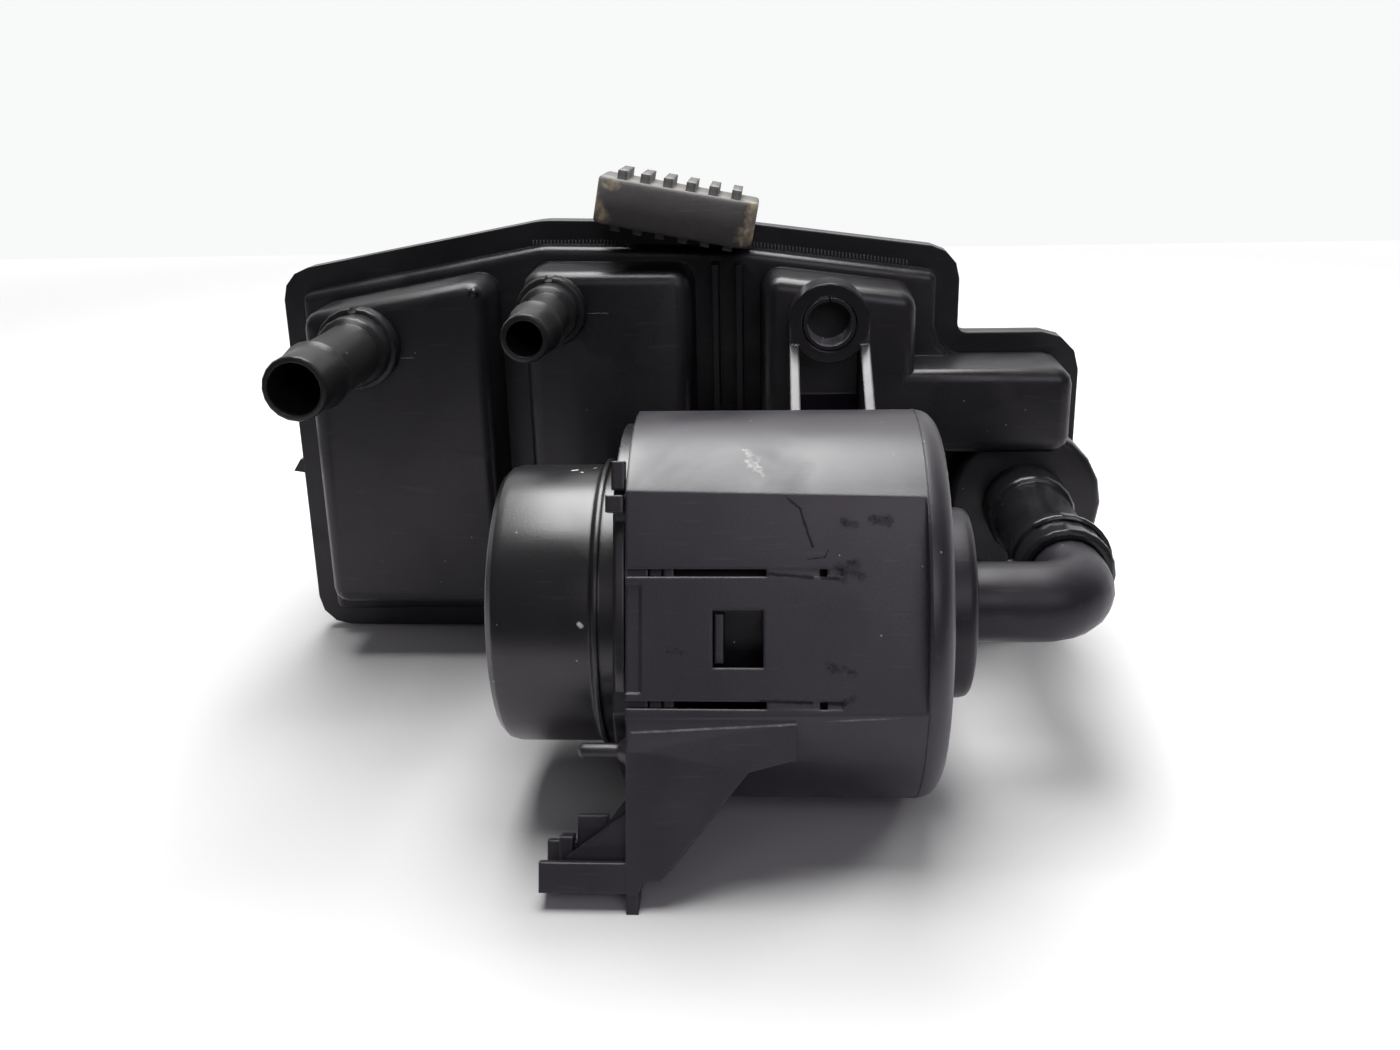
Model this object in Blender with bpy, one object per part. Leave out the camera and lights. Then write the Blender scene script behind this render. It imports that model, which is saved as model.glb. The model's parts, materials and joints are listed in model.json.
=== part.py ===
"""Charcoal canister with a vent filter housing, for a car's fuel system.

Metres, +Z up. The object stands on the floor at Z = 0, its cover faces -Y and the
filter housing hangs across the front of the cover, with its axis along X.
"""

import math

import bmesh
import bpy
from mathutils import Matrix, Vector

MM = 0.001

# Clearances
SEAT_GAP = 0.3 * MM  # between pieces that rest on each other or are welded
BED_GAP = 0.6 * MM  # round the charcoal, foam and plates in their chambers
STAGGER = 0.12 * MM  # keeps the faces of shapes that are joined out of one plane

# Cover and shell outline, seen from the front
FLANGE_LEFT_X = -110.2 * MM
FLANGE_RIGHT_X = 111.3 * MM
FLANGE_BOTTOM = 1.6 * MM  # the flange hangs just clear of the floor
FLANGE_CREST = 120.8 * MM
FLANGE_LEFT_DROP = 13.3 * MM  # heights below the crest
SHOULDER_DROP = 9.2 * MM
STEP_DROP = 32.0 * MM
CREST_LEFT_X = -36.0 * MM
CREST_RIGHT_X = 18.0 * MM
CREST_FALL = 1.3 * MM  # how much lower the crest's right end is
SHOULDER_INSET = 33.6 * MM  # from the right side
FLANGE_CORNER_R = 9.0 * MM
STEP_CORNER_R = 10.5 * MM
NOTCH_R = 2.5 * MM
FLANGE_THICKNESS = 3.4 * MM
WALL = 2.6 * MM
ARC_STEPS = 3

# Places that follow from the outline
SHOULDER_X = FLANGE_RIGHT_X - SHOULDER_INSET
FLANGE_LEFT_TOP = FLANGE_CREST - FLANGE_LEFT_DROP
SHOULDER_TOP = FLANGE_CREST - SHOULDER_DROP
STEP_TOP = FLANGE_CREST - STEP_DROP

# Cover: a low plinth inside the flange, then four raised pockets
PLINTH_INSET = 6.4 * MM
PLINTH_HEIGHT = 8.0 * MM
PLINTH_FILLET = 2.2 * MM
POCKET_HEIGHT = 26.0 * MM
POCKET_INSET_TOP = 10.0 * MM
POCKET_LEFT_INSET = 11.6 * MM
POCKET_BOTTOM = 16.5 * MM
POCKET_FILLET = 3.4 * MM
POCKET_CORNER_R = 5.0 * MM
POCKET_DRAFT = 0.025
CHANNEL_A_X = -43.5 * MM
CHANNEL_A_WIDTH = 8.8 * MM
CHANNEL_B_X = 14.7 * MM
CHANNEL_B_WIDTH = 17.6 * MM
POCKET_RIGHT_INSET = 46.7 * MM
SIDE_POCKET_RIGHT_INSET = 5.3 * MM
SIDE_POCKET_TALL = 23.9 * MM
SIDE_POCKET_DROP = 5.4 * MM  # below the step's top edge
CHANNEL_RIB_THICKNESS = 1.8 * MM
CHANNEL_RIB_HEIGHT = 7.0 * MM
CHANNEL_RIB_SPACING = 6.4 * MM
EDGE_HOOK_Z = 51.0 * MM
EDGE_HOOK_REACH = 3.4 * MM
EDGE_HOOK_HEIGHT = 4.6 * MM
KNOB_R = 1.3 * MM
KNOB_HEIGHT = 1.1 * MM
KNOB_INSET = 3.4 * MM

# Shell behind the cover
SHELL_DEPTH = 100.0 * MM
SHELL_INSET_FRONT = 6.4 * MM
SHELL_INSET_REAR = 15.0 * MM
SHELL_REAR_R = 7.0 * MM
REAR_STEPS = 4
SHELL_STEP_SINK = 5.0 * MM  # extra fall of the stepped corner towards the rear
PARTITION_THICKNESS = 2.4 * MM
PASSAGE_LENGTH = 17.0 * MM
SHELL_RIB_PITCH = 30.0 * MM
SHELL_RIB_HEIGHT = 2.2 * MM
SHELL_RIB_THICKNESS = 1.8 * MM
RAIL_SPACING = 120.0 * MM
RAIL_THICKNESS = 4.0 * MM
RAIL_END_MARGIN = 12.0 * MM

# Charcoal beds and what holds them
FOAM_THICKNESS = 6.0 * MM
BED_LENGTH = 56.0 * MM
PLATE_THICKNESS = 2.4 * MM
PLATE_HOLE_R = 2.6 * MM
PLATE_HOLE_PITCH = 19.0 * MM
PLATE_EDGE_MARGIN = 13.0 * MM
SPRING_R = 8.0 * MM
SPRING_WIRE_R = 0.8 * MM
SPRING_TURNS = 4
WIRE_ROUNDNESS = 0
SPRING_STEPS = 10
SPRING_DROP = 36.8 * MM  # below the step's top
MAIN_SPRING_SHARES = (0.25, 0.74)  # across the chamber's width
VENT_SPRING_SHARE = 0.5

# Ports on the cover
TANK_PORT_INSET = 27.6 * MM  # from the left side
TANK_PORT_DROP = 30.0 * MM  # below the crest
TANK_PORT_R = 7.8 * MM
TANK_PORT_BORE_R = 6.3 * MM
TANK_PORT_LENGTH = 52.4 * MM
TANK_COLLAR_R = 10.9 * MM
PURGE_PORT_X = -30.6 * MM
PURGE_PORT_DROP = 20.8 * MM
PURGE_PORT_R = 5.9 * MM
PURGE_PORT_BORE_R = 4.3 * MM
PURGE_PORT_LENGTH = 42.0 * MM
PURGE_COLLAR_R = 9.2 * MM
PORT_COLLAR_HEIGHT = 4.6 * MM
PORT_SHOULDER_HEIGHT = 5.4 * MM
PORT_BEAD = 0.9 * MM
COLLAR_NOTCH_WIDTH = 1.8 * MM
COLLAR_NOTCH_DEPTH = 1.2 * MM
PORT_SHOULDER_TURN = 60  # degrees of its rounded edge
PORT_GRIP = 17.0 * MM  # the hose bead starts this far from the mouth
SPIGOT_LENGTH = 5.0 * MM
ROUND_STEPS = 20
KNOB_STEPS = 12

# Rubber pad on its tongue at the cover's crest
PAD_X = 1.9 * MM
PAD_RISE = 3.3 * MM  # its middle above the crest
PAD_TILT = math.radians(-10.7)
PAD_WIDTH = 41.6 * MM
PAD_HEIGHT = 11.8 * MM
PAD_DEPTH = 22.0 * MM
PAD_CHAMFER = 3.2 * MM
PAD_RIBS = 6
PAD_RIB_WIDTH = 2.4 * MM
PAD_RIB_HEIGHT = 2.2 * MM
PAD_RIB_PITCH = 5.9 * MM
PAD_FOOT_HEIGHT = 1.4 * MM
TONGUE_WIDTH = 30.0 * MM
TONGUE_THICKNESS = 4.0 * MM
TONGUE_TIP_MARGIN = 3.0 * MM

# Filter housing
DRUM_X0 = -2.4 * MM
DRUM_LENGTH = 64.9 * MM
DRUM_R = 43.0 * MM
DRUM_WALL = 2.5 * MM
DRUM_FILLET = 5.0 * MM
FILLET_STEPS = 5
AXIS_Y = -93.0 * MM
AXIS_Z = 44.6 * MM
FLAT_TURN = math.radians(20.0)  # the latch flat looks up by this much
FLAT_LEFT = 36.8 * MM
FLAT_RIGHT = 37.5 * MM
FLAT_ROLL_START = 9.0 * MM  # above this height the flat rolls gently into the drum
FLAT_ROLL_SPAN = 16.0 * MM
FLAT_ROLL_R = 170.0 * MM
FLAT_ROLL_STEPS = 4
RIM_WIDTH = 5.4 * MM  # the round rim beyond the flat
SLIT_WIDTH = 1.5 * MM
SLIT_LENGTH = 28.0 * MM
GROOVE_LENGTH = 43.0 * MM
GROOVE_FLOOR = 37.1 * MM  # from the drum's axis
GROOVE_PIT_INSET = 3.0 * MM
LEAD_IN_LENGTH = 3.0 * MM
LEAD_IN_DEPTH = 0.6 * MM
FINGER_CENTRE = -6.3 * MM
FINGER_WIDTH = 24.6 * MM
WINDOW_X0 = 17.4 * MM  # from the drum's open end
WINDOW_WIDTH = 10.0 * MM
WINDOW_HEIGHT = 11.4 * MM
DRUM_STEPS = 40

# Gusset, foot and peg below the latch flat
GUSSET_THICKNESS = 3.0 * MM
GUSSET_DROP = 54.0 * MM
GUSSET_TOE = 9.6 * MM
GUSSET_HEEL = 34.0 * MM
GUSSET_HEEL_DROP = 30.0 * MM
FOOT_WIDTH = 17.2 * MM
FOOT_BAR_TOP = 50.6 * MM
FOOT_BAR_BOTTOM = 56.6 * MM
FOOT_DEPTH = 13.0 * MM
FOOT_RIB_THICKNESS = 1.6 * MM
FOOT_WALL = 2.2 * MM
FOOT_RIB_TOPS = (41.2 * MM, 38.0 * MM)
FOOT_RIB_TIPS = (12.3 * MM, 9.2 * MM)
FOOT_KEY_SPAN = (-10.9 * MM, -4.6 * MM)
FOOT_KEY_HEIGHT = 7.4 * MM
FOOT_STOP_SPAN = (-14.4 * MM, -11.6 * MM)
FOOT_STOP_HEIGHT = 3.4 * MM
LUG_WIDTH = 2.6 * MM
LUG_REACH = 60.9 * MM
PEG_DROP = 28.9 * MM
PEG_R = 1.6 * MM
PEG_TIP_R = 1.3 * MM
PEG_LENGTH = 11.4 * MM
PEG_ROOT_R = 3.0 * MM
PEG_ROOT_LENGTH = 3.4 * MM
PEG_STEPS = 12

# Ear that bolts the housing to the car, and its steel sleeve
EAR_X = 41.2 * MM
EAR_Z = 97.6 * MM
EAR_R = 10.2 * MM
EAR_THICKNESS = 12.0 * MM
EAR_WEB = 2.4 * MM
EAR_WEB_HEEL = 22.4 * MM  # how far below the bolt the webs start
EAR_WEB_LANDING_TOP = (0.45, 0.70)  # where the webs reach the drum, as shares of its radius
EAR_WEB_LANDING_LOW = (0.80, 0.30)
SLEEVE_R = 6.6 * MM
SLEEVE_WALL = 0.9 * MM
SLEEVE_SLOT = 0.6 * MM
SLEEVE_PROUD = 0.4 * MM

# Filter cap
CAP_R = 31.0 * MM
CAP_LENGTH = 23.9 * MM
CAP_FILLET = 3.6 * MM
CAP_NECK = 6.4 * MM
CAP_BEAD_R = 32.4 * MM
CAP_BEAD_WIDTH = 1.8 * MM
CAP_FLANGE_R = 38.0 * MM
CAP_FLANGE_WIDTH = 1.9 * MM
CAP_FLANGE_SUNK = 0.7 * MM  # below the latch flat
CAP_TAB_PROUD = 0.9 * MM
CAP_TAB_SPAN = (18.8 * MM, 22.2 * MM)
CAP_EAR_SPAN = (23.4 * MM, 29.2 * MM)
CAP_SKIRT_R = 30.7 * MM
CAP_SKIRT_DEPTH = 31.0 * MM
CAP_SKIRT_WALL = 1.8 * MM
PLUG_GAP = 0.4 * MM
SEAL_X = 4.6 * MM
SEAL_WIDTH = 2.4 * MM
SEAL_DEPTH = 2.2 * MM
SEAL_PROUD = 0.15 * MM
SEAL_SIDES = 6
HOOK_THICKNESS = 1.8 * MM
HOOK_SUNK = 1.0 * MM  # below the latch flat
INLET_COUNT = 5
INLET_WIDTH = 4.0 * MM
INLET_LENGTH = 13.0 * MM
INLET_PITCH = math.radians(15.0)

# Pleated element
ELEMENT_OUTER_R = 27.0 * MM
ELEMENT_INNER_R = 18.5 * MM
ELEMENT_PLEATS = 32
ELEMENT_PAPER = 1.3 * MM
ELEMENT_LENGTH = 38.0 * MM
END_DISC_THICKNESS = 3.0 * MM
END_DISC_HOLE_R = 9.0 * MM

# Vent elbow, its coupling and the port that it plugs into
VENT_INSET = 15.9 * MM  # from the right side
PIPE_R = 9.0 * MM
PIPE_WALL = 1.8 * MM
PIPE_BEND_R = 9.6 * MM
BEND_STEPS = 6
PIPE_SEAL_WIRE_R = 0.5 * MM
PIPE_SEAL_DEPTH = 1.0 * MM
PIPE_SEAL_PITCH = 3.4 * MM
BOSS_R = 21.2 * MM
BOSS_HEIGHT = 7.0 * MM
BOSS_FILLET = 2.0 * MM
BOSS_STEPS = 32
SOCKET_R = 11.4 * MM
SOCKET_LENGTH = 15.0 * MM
SOCKET_MOUTH_Y = -77.0 * MM
SOCKET_LAP = 12.0 * MM
VENT_DISC_R = 20.8 * MM
VENT_DISC_HEIGHT = 20.6 * MM
VENT_SHOULDER_R = 11.5 * MM
VENT_NECK_R = 10.0 * MM
VENT_BORE_R = 7.2 * MM
VENT_SHOULDER_LENGTH = 10.8 * MM
CLIP_FROM_MOUTH = 8.6 * MM
CLIP_WIRE_R = 0.9 * MM
CLIP_GAP = math.radians(50.0)
CLIP_TURN = math.radians(150.0)  # where its open side faces
CLIP_STEPS = 26
CLIP_ROUNDNESS = 1
OVERCUT = 4.0 * MM

# Places that follow from the sizes above
POCKET_LEFT_X = FLANGE_LEFT_X + POCKET_LEFT_INSET
POCKET_RIGHT_X = FLANGE_RIGHT_X - POCKET_RIGHT_INSET
SIDE_POCKET_RIGHT_X = FLANGE_RIGHT_X - SIDE_POCKET_RIGHT_INSET
TANK_PORT_X = FLANGE_LEFT_X + TANK_PORT_INSET
TANK_PORT_Z = FLANGE_CREST - TANK_PORT_DROP
PURGE_PORT_Z = FLANGE_CREST - PURGE_PORT_DROP
PAD_Z = FLANGE_CREST + PAD_RISE
VENT_X = FLANGE_RIGHT_X - VENT_INSET
SPRING_Z = STEP_TOP - SPRING_DROP
FLAT_LENGTH = DRUM_LENGTH - RIM_WIDTH


# Scene and materials

def clear_scene():
    for item in list(bpy.data.objects):
        bpy.data.objects.remove(item, do_unlink=True)


def finish(name, colour, roughness, metallic=0.0):
    material = bpy.data.materials.new(name)
    material.use_nodes = True
    shader = material.node_tree.nodes["Principled BSDF"]
    shader.inputs["Base Color"].default_value = (*colour, 1.0)
    shader.inputs["Roughness"].default_value = roughness
    shader.inputs["Metallic"].default_value = metallic
    material.diffuse_color = (*colour, 1.0)
    return material


def new_object(name, bm, material=None):
    """Makes an object of the mesh, with its faces turned outwards and round faces smooth."""
    bmesh.ops.remove_doubles(bm, verts=bm.verts, dist=1e-7)
    bmesh.ops.recalc_face_normals(bm, faces=bm.faces)
    mesh = bpy.data.meshes.new(name)
    bm.to_mesh(mesh)
    bm.free()
    item = bpy.data.objects.new(name, mesh)
    bpy.context.scene.collection.objects.link(item)
    if material:
        mesh.materials.append(material)
        mesh.shade_smooth()
        mesh.set_sharp_from_angle(angle=math.radians(34))
    return item


def combine(target, tool, operation):
    """Adds or cuts a helper shape with a Boolean, and hides the helper."""
    modifier = target.modifiers.new(tool.name, "BOOLEAN")
    modifier.operation = operation
    modifier.solver = "MANIFOLD"
    modifier.object = tool
    tool.hide_render = True
    tool.display_type = "WIRE"


def add(target, *tools):
    for tool in tools:
        combine(target, tool, "UNION")


def cut(target, *tools):
    for tool in tools:
        combine(target, tool, "DIFFERENCE")


# Basic shapes

def rounded_outline(corners, inset=0.0, steps=ARC_STEPS):
    """Walks (x, z, radius) corners counter-clockwise, moved inwards by inset, with an arc at each."""
    count = len(corners)
    points = []
    for i in range(count):
        before, here, after = (Vector(corners[(i + k) % count][:2]) for k in (-1, 0, 1))
        way_in = (here - before).normalized()
        way_out = (after - here).normalized()
        left_in = Vector((-way_in.y, way_in.x))
        left_out = Vector((-way_out.y, way_out.x))
        turn = math.atan2(way_in.cross(way_out), way_in.dot(way_out))
        corner = here + (left_in + left_out) * inset / (1 + left_in.dot(left_out))
        convex = turn > 0
        radius = max(corners[i][2] + (-inset if convex else inset), 0.2 * MM)
        reach = radius * math.tan(abs(turn) / 2)
        start = corner - way_in * reach
        centre = start + left_in * (radius if convex else -radius)
        for k in range(steps + 1):
            spin = Matrix.Rotation(turn * k / steps, 2)
            points.append(centre + spin @ (start - centre))
    return points


def loft(rings):
    """Bridges rings of equal count and closes both ends."""
    bm = bmesh.new()
    made = [[bm.verts.new(p) for p in ring] for ring in rings]
    count = len(made[0])
    for near, far in zip(made, made[1:]):
        for i in range(count):
            j = (i + 1) % count
            bm.faces.new((near[i], near[j], far[j], far[i]))
    bm.faces.new(made[0][::-1])
    bm.faces.new(made[-1])
    return bm


def plate_loft(corner_rings):
    """Lofts outlines given as (y, corners, inset)."""
    rings = []
    for y, corners, inset in corner_rings:
        rings.append([Vector((p.x, y, p.y)) for p in rounded_outline(corners, inset)])
    return loft(rings)


def fillet_stations(y_start, y_end, inset, draft, radius, steps=3):
    """Stations of a raised block whose front edge is rounded; y_end is its face."""
    way = math.copysign(1.0, y_end - y_start)
    straight = abs(y_end - y_start) - radius
    edge_inset = inset + draft * straight
    stations = [(y_start, inset), (y_start + way * straight, edge_inset)]
    for k in range(1, steps + 1):
        angle = math.pi / 2 * k / steps
        y = y_start + way * (straight + radius * math.sin(angle))
        stations.append((y, edge_inset + radius * (1 - math.cos(angle))))
    return stations


def box(size, centre):
    bm = bmesh.new()
    bmesh.ops.create_cube(bm, size=1.0)
    bmesh.ops.scale(bm, vec=size, verts=bm.verts)
    bmesh.ops.translate(bm, vec=centre, verts=bm.verts)
    return bm


def block(name, x, y, z):
    """A cutter or rib given by its (low, high) along each axis."""
    size = [high - low for low, high in (x, y, z)]
    centre = [(high + low) / 2 for low, high in (x, y, z)]
    return new_object(name, box(size, centre))


def lathe(profile, steps=ROUND_STEPS):
    """Turns a closed loop of (radius, height) about Z; radius 0 closes on the axis."""
    bm = bmesh.new()
    rings = []
    for radius, height in profile:
        if radius < 1e-9:
            rings.append([bm.verts.new((0, 0, height))])
            continue
        ring = []
        for k in range(steps):
            angle = 2 * math.pi * k / steps
            ring.append(bm.verts.new((radius * math.cos(angle), radius * math.sin(angle), height)))
        rings.append(ring)
    for near, far in zip(rings, rings[1:] + rings[:1]):
        for i in range(steps):
            j = (i + 1) % steps
            loop = [near[i % len(near)], near[j % len(near)], far[j % len(far)], far[i % len(far)]]
            corners = list(dict.fromkeys(loop))
            if len(corners) > 2:
                bm.faces.new(corners)
    return bm


def quarter(r, z, radius, start, end, steps=3):
    """Points on an arc about (r, z), from one angle to another in degrees."""
    points = []
    for k in range(steps + 1):
        angle = math.radians(start + (end - start) * k / steps)
        points.append((r + radius * math.cos(angle), z + radius * math.sin(angle)))
    return points


def placed(bm, matrix):
    bmesh.ops.transform(bm, matrix=matrix, verts=bm.verts)
    return bm


# Turns a lathe's Z axis to -Y, towards the viewer, and to +X, along the drum
TO_FRONT = Matrix.Rotation(math.radians(90), 4, "X")
TO_RIGHT = Matrix.Rotation(math.radians(90), 4, "Y")


def facing_front(x, y, z):
    return Matrix.Translation((x, y, z)) @ TO_FRONT


def along_drum(x):
    return Matrix.Translation((x, AXIS_Y, AXIS_Z)) @ TO_RIGHT


def flat_frame():
    """Local frame of the latch flat: X along the drum, Y outwards from its axis, Z up the flat."""
    return Matrix.Translation((DRUM_X0, AXIS_Y, AXIS_Z)) @ Matrix.Rotation(math.pi - FLAT_TURN, 4, "X") \
        @ Matrix.Scale(-1, 4, (0, 0, 1))


def flat_block(name, x, out, up):
    size = [high - low for low, high in (x, out, up)]
    centre = [(high + low) / 2 for low, high in (x, out, up)]
    return new_object(name, placed(box(size, centre), flat_frame()))


def flat_prism(name, outline, out):
    """A plate parallel to the latch flat, from an outline of (x, up) points."""
    bm = loft([[Vector((x, depth, up)) for x, up in outline] for depth in out])
    return new_object(name, placed(bm, flat_frame()))


# Outline of the weld flange, shared by the cover and the shell

def flange_corners():
    return [
        (FLANGE_LEFT_X, FLANGE_BOTTOM, FLANGE_CORNER_R),
        (FLANGE_RIGHT_X, FLANGE_BOTTOM, FLANGE_CORNER_R),
        (FLANGE_RIGHT_X, STEP_TOP, STEP_CORNER_R),
        (SHOULDER_X, STEP_TOP, NOTCH_R),
        (SHOULDER_X, SHOULDER_TOP, FLANGE_CORNER_R),
        (CREST_RIGHT_X, FLANGE_CREST - CREST_FALL, 3 * FLANGE_CORNER_R),
        (CREST_LEFT_X, FLANGE_CREST, 3 * FLANGE_CORNER_R),
        (FLANGE_LEFT_X, FLANGE_LEFT_TOP, FLANGE_CORNER_R),
    ]


def top_edge(x, inset=0.0):
    """Height of the flange's upper edge at x, moved down by inset."""
    knots = [
        (FLANGE_LEFT_X, FLANGE_LEFT_TOP),
        (CREST_LEFT_X, FLANGE_CREST),
        (CREST_RIGHT_X, FLANGE_CREST - CREST_FALL),
        (SHOULDER_X, SHOULDER_TOP),
    ]
    for (x0, z0), (x1, z1) in zip(knots, knots[1:]):
        if x <= x1:
            return z0 + (z1 - z0) * (x - x0) / (x1 - x0) - inset
    return SHOULDER_TOP - inset


# Cover

def pocket_corners(left, right):
    bend = [(CREST_LEFT_X, top_edge(CREST_LEFT_X, POCKET_INSET_TOP), POCKET_CORNER_R)]
    return [
        (left, POCKET_BOTTOM, POCKET_CORNER_R),
        (right, POCKET_BOTTOM, POCKET_CORNER_R),
        (right, top_edge(right, POCKET_INSET_TOP), POCKET_CORNER_R),
        *(bend if left + 3 * POCKET_CORNER_R < CREST_LEFT_X < right - 3 * POCKET_CORNER_R else []),
        (left, top_edge(left, POCKET_INSET_TOP), POCKET_CORNER_R),
    ]


def side_pocket_corners():
    top = STEP_TOP - SIDE_POCKET_DROP
    bottom = top - SIDE_POCKET_TALL
    left = POCKET_RIGHT_X - 2 * POCKET_CORNER_R
    return [
        (left, bottom, POCKET_CORNER_R),
        (SIDE_POCKET_RIGHT_X, bottom, POCKET_CORNER_R),
        (SIDE_POCKET_RIGHT_X, top, POCKET_CORNER_R),
        (left, top, POCKET_CORNER_R),
    ]


def all_pockets():
    a_left = CHANNEL_A_X - CHANNEL_A_WIDTH / 2
    a_right = CHANNEL_A_X + CHANNEL_A_WIDTH / 2
    b_left = CHANNEL_B_X - CHANNEL_B_WIDTH / 2
    b_right = CHANNEL_B_X + CHANNEL_B_WIDTH / 2
    return {
        "tank_pocket": pocket_corners(POCKET_LEFT_X, a_left),
        "purge_pocket": pocket_corners(a_right, b_left),
        "vent_pocket": pocket_corners(b_right, POCKET_RIGHT_X),
        "side_pocket": side_pocket_corners(),
    }


def raised(name, corners, y_start, y_end, inset, fillet, steps=3):
    stations = fillet_stations(y_start, y_end, inset, POCKET_DRAFT, fillet, steps)
    return new_object(name, plate_loft([(y, corners, i) for y, i in stations]))


def make_cover(material):
    flange = flange_corners()
    rings = [(0.0, flange, 0.0), (-FLANGE_THICKNESS, flange, 0.0)]
    plinth = fillet_stations(-FLANGE_THICKNESS, -PLINTH_HEIGHT, PLINTH_INSET, POCKET_DRAFT, PLINTH_FILLET)
    rings += [(y, flange, inset) for y, inset in plinth]
    cover = new_object("canister_cover", plate_loft(rings), material)
    for name, corners in all_pockets().items():
        add(cover, raised(name, corners, -PLINTH_HEIGHT / 2, -POCKET_HEIGHT, 0.0, POCKET_FILLET))
    edge = quarter(VENT_DISC_R - BOSS_FILLET, VENT_DISC_HEIGHT - BOSS_FILLET, BOSS_FILLET, 0, 90)
    disc = lathe([(0, PLINTH_HEIGHT / 2), (VENT_DISC_R, PLINTH_HEIGHT / 2), *edge, (0, VENT_DISC_HEIGHT)])
    add(cover, new_object("vent_disc", placed(disc, facing_front(VENT_X, 0, AXIS_Z))))
    for side in (-1, 1):
        x = CHANNEL_B_X + side * CHANNEL_RIB_SPACING / 2
        half = CHANNEL_RIB_THICKNESS / 2
        add(cover, block("channel_rib", (x - half, x + half),
                         (-PLINTH_HEIGHT - CHANNEL_RIB_HEIGHT, -PLINTH_HEIGHT / 2),
                         (POCKET_BOTTOM, top_edge(x, POCKET_INSET_TOP))))
    add(cover, tongue(), edge_hook(), pocket_knob())
    hollow_cover(cover)
    for x, z, r in ((TANK_PORT_X, TANK_PORT_Z, TANK_PORT_R), (PURGE_PORT_X, PURGE_PORT_Z, PURGE_PORT_R)):
        hole = pin(r + SEAT_GAP, 0.0, 2 * POCKET_HEIGHT)
        cut(cover, new_object("port_hole", placed(hole, facing_front(x, -PLINTH_HEIGHT, z))))
    hole = pin(VENT_NECK_R + SEAT_GAP, 0.0, 2 * POCKET_HEIGHT)
    cut(cover, new_object("vent_hole", placed(hole, facing_front(VENT_X, -FLANGE_THICKNESS, AXIS_Z))))
    return cover


def hollow_cover(cover):
    """Takes the inside out of the plinth, each pocket and the vent disc, to one wall thickness."""
    flange = flange_corners()
    depth = PLINTH_HEIGHT - WALL
    rings = [(OVERCUT, flange, PLINTH_INSET + WALL)]
    inside = fillet_stations(0.0, -depth, PLINTH_INSET + WALL, POCKET_DRAFT, PLINTH_FILLET, 1)
    rings += [(y, flange, i) for y, i in inside]
    cut(cover, new_object("plinth_inside", plate_loft(rings)))
    for name, corners in all_pockets().items():
        cut(cover, raised(name + "_inside", corners, 0.0, WALL - POCKET_HEIGHT, WALL, POCKET_FILLET, 1))


def tongue_frame():
    return Matrix.Translation((PAD_X, 0, PAD_Z)) @ Matrix.Rotation(-PAD_TILT, 4, "Y")


def pad_front():
    return -FLANGE_THICKNESS - SEAT_GAP - PAD_DEPTH


def tongue():
    """The tongue that carries the rubber pad, standing forward of the flange."""
    front = pad_front() + TONGUE_TIP_MARGIN
    back = -FLANGE_THICKNESS / 2
    bm = box((TONGUE_WIDTH, back - front, TONGUE_THICKNESS), (0, (back + front) / 2, 0))
    plate = new_object("tongue_plate", placed(bm, tongue_frame()))
    size = (TONGUE_WIDTH, FLANGE_THICKNESS - MM, PAD_HEIGHT)
    web = box(size, (0, -FLANGE_THICKNESS / 2, (TONGUE_THICKNESS - PAD_HEIGHT) / 2))
    stem = new_object("tongue_stem", placed(web, tongue_frame()))
    add(plate, stem)
    return plate


def edge_hook():
    """A small clip nose on the flange's left edge."""
    left = FLANGE_LEFT_X
    nose = [
        (left + FLANGE_THICKNESS, EDGE_HOOK_Z + EDGE_HOOK_HEIGHT / 2),
        (left - EDGE_HOOK_REACH / 3, EDGE_HOOK_Z + EDGE_HOOK_HEIGHT / 2),
        (left - EDGE_HOOK_REACH, EDGE_HOOK_Z - EDGE_HOOK_HEIGHT / 4),
        (left + FLANGE_THICKNESS, EDGE_HOOK_Z - EDGE_HOOK_HEIGHT / 2),
    ]
    margin = FLANGE_THICKNESS / 5
    rings = [[Vector((x, y, z)) for x, z in nose] for y in (-margin, margin - FLANGE_THICKNESS)]
    return new_object("edge_hook", loft(rings))


def pocket_knob():
    """A small round knob near the tank pocket's upper right corner."""
    x = CHANNEL_A_X - CHANNEL_A_WIDTH / 2 - KNOB_INSET
    z = top_edge(x, POCKET_INSET_TOP + KNOB_INSET)
    top = POCKET_HEIGHT + KNOB_HEIGHT
    profile = [(0, POCKET_HEIGHT - WALL / 2), (KNOB_R, POCKET_HEIGHT - WALL / 2),
               (KNOB_R, top - KNOB_R / 2), (KNOB_R / 2, top), (0, top)]
    return new_object("pocket_knob", placed(lathe(profile, KNOB_STEPS), facing_front(x, 0, z)))


# Shell

def rear_corners():
    """The outline that the rear wall follows: its step sinks, and its lower edge stays level."""
    corners = [list(c) for c in flange_corners()]
    corners[0][1] -= SHELL_INSET_REAR - SHELL_INSET_FRONT
    corners[1][1] -= SHELL_INSET_REAR - SHELL_INSET_FRONT
    corners[2][1] -= SHELL_STEP_SINK
    corners[3][1] -= SHELL_STEP_SINK
    return corners


def shell_ring(y, extra):
    """Corners and inset of the shell's outer wall at depth y, moved in by extra."""
    share = y / SHELL_DEPTH
    inset = SHELL_INSET_FRONT + (SHELL_INSET_REAR - SHELL_INSET_FRONT) * share + extra
    corners = []
    for front, rear in zip(flange_corners(), rear_corners()):
        corners.append(tuple(a + (b - a) * share for a, b in zip(front, rear)))
    return corners, inset


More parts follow.
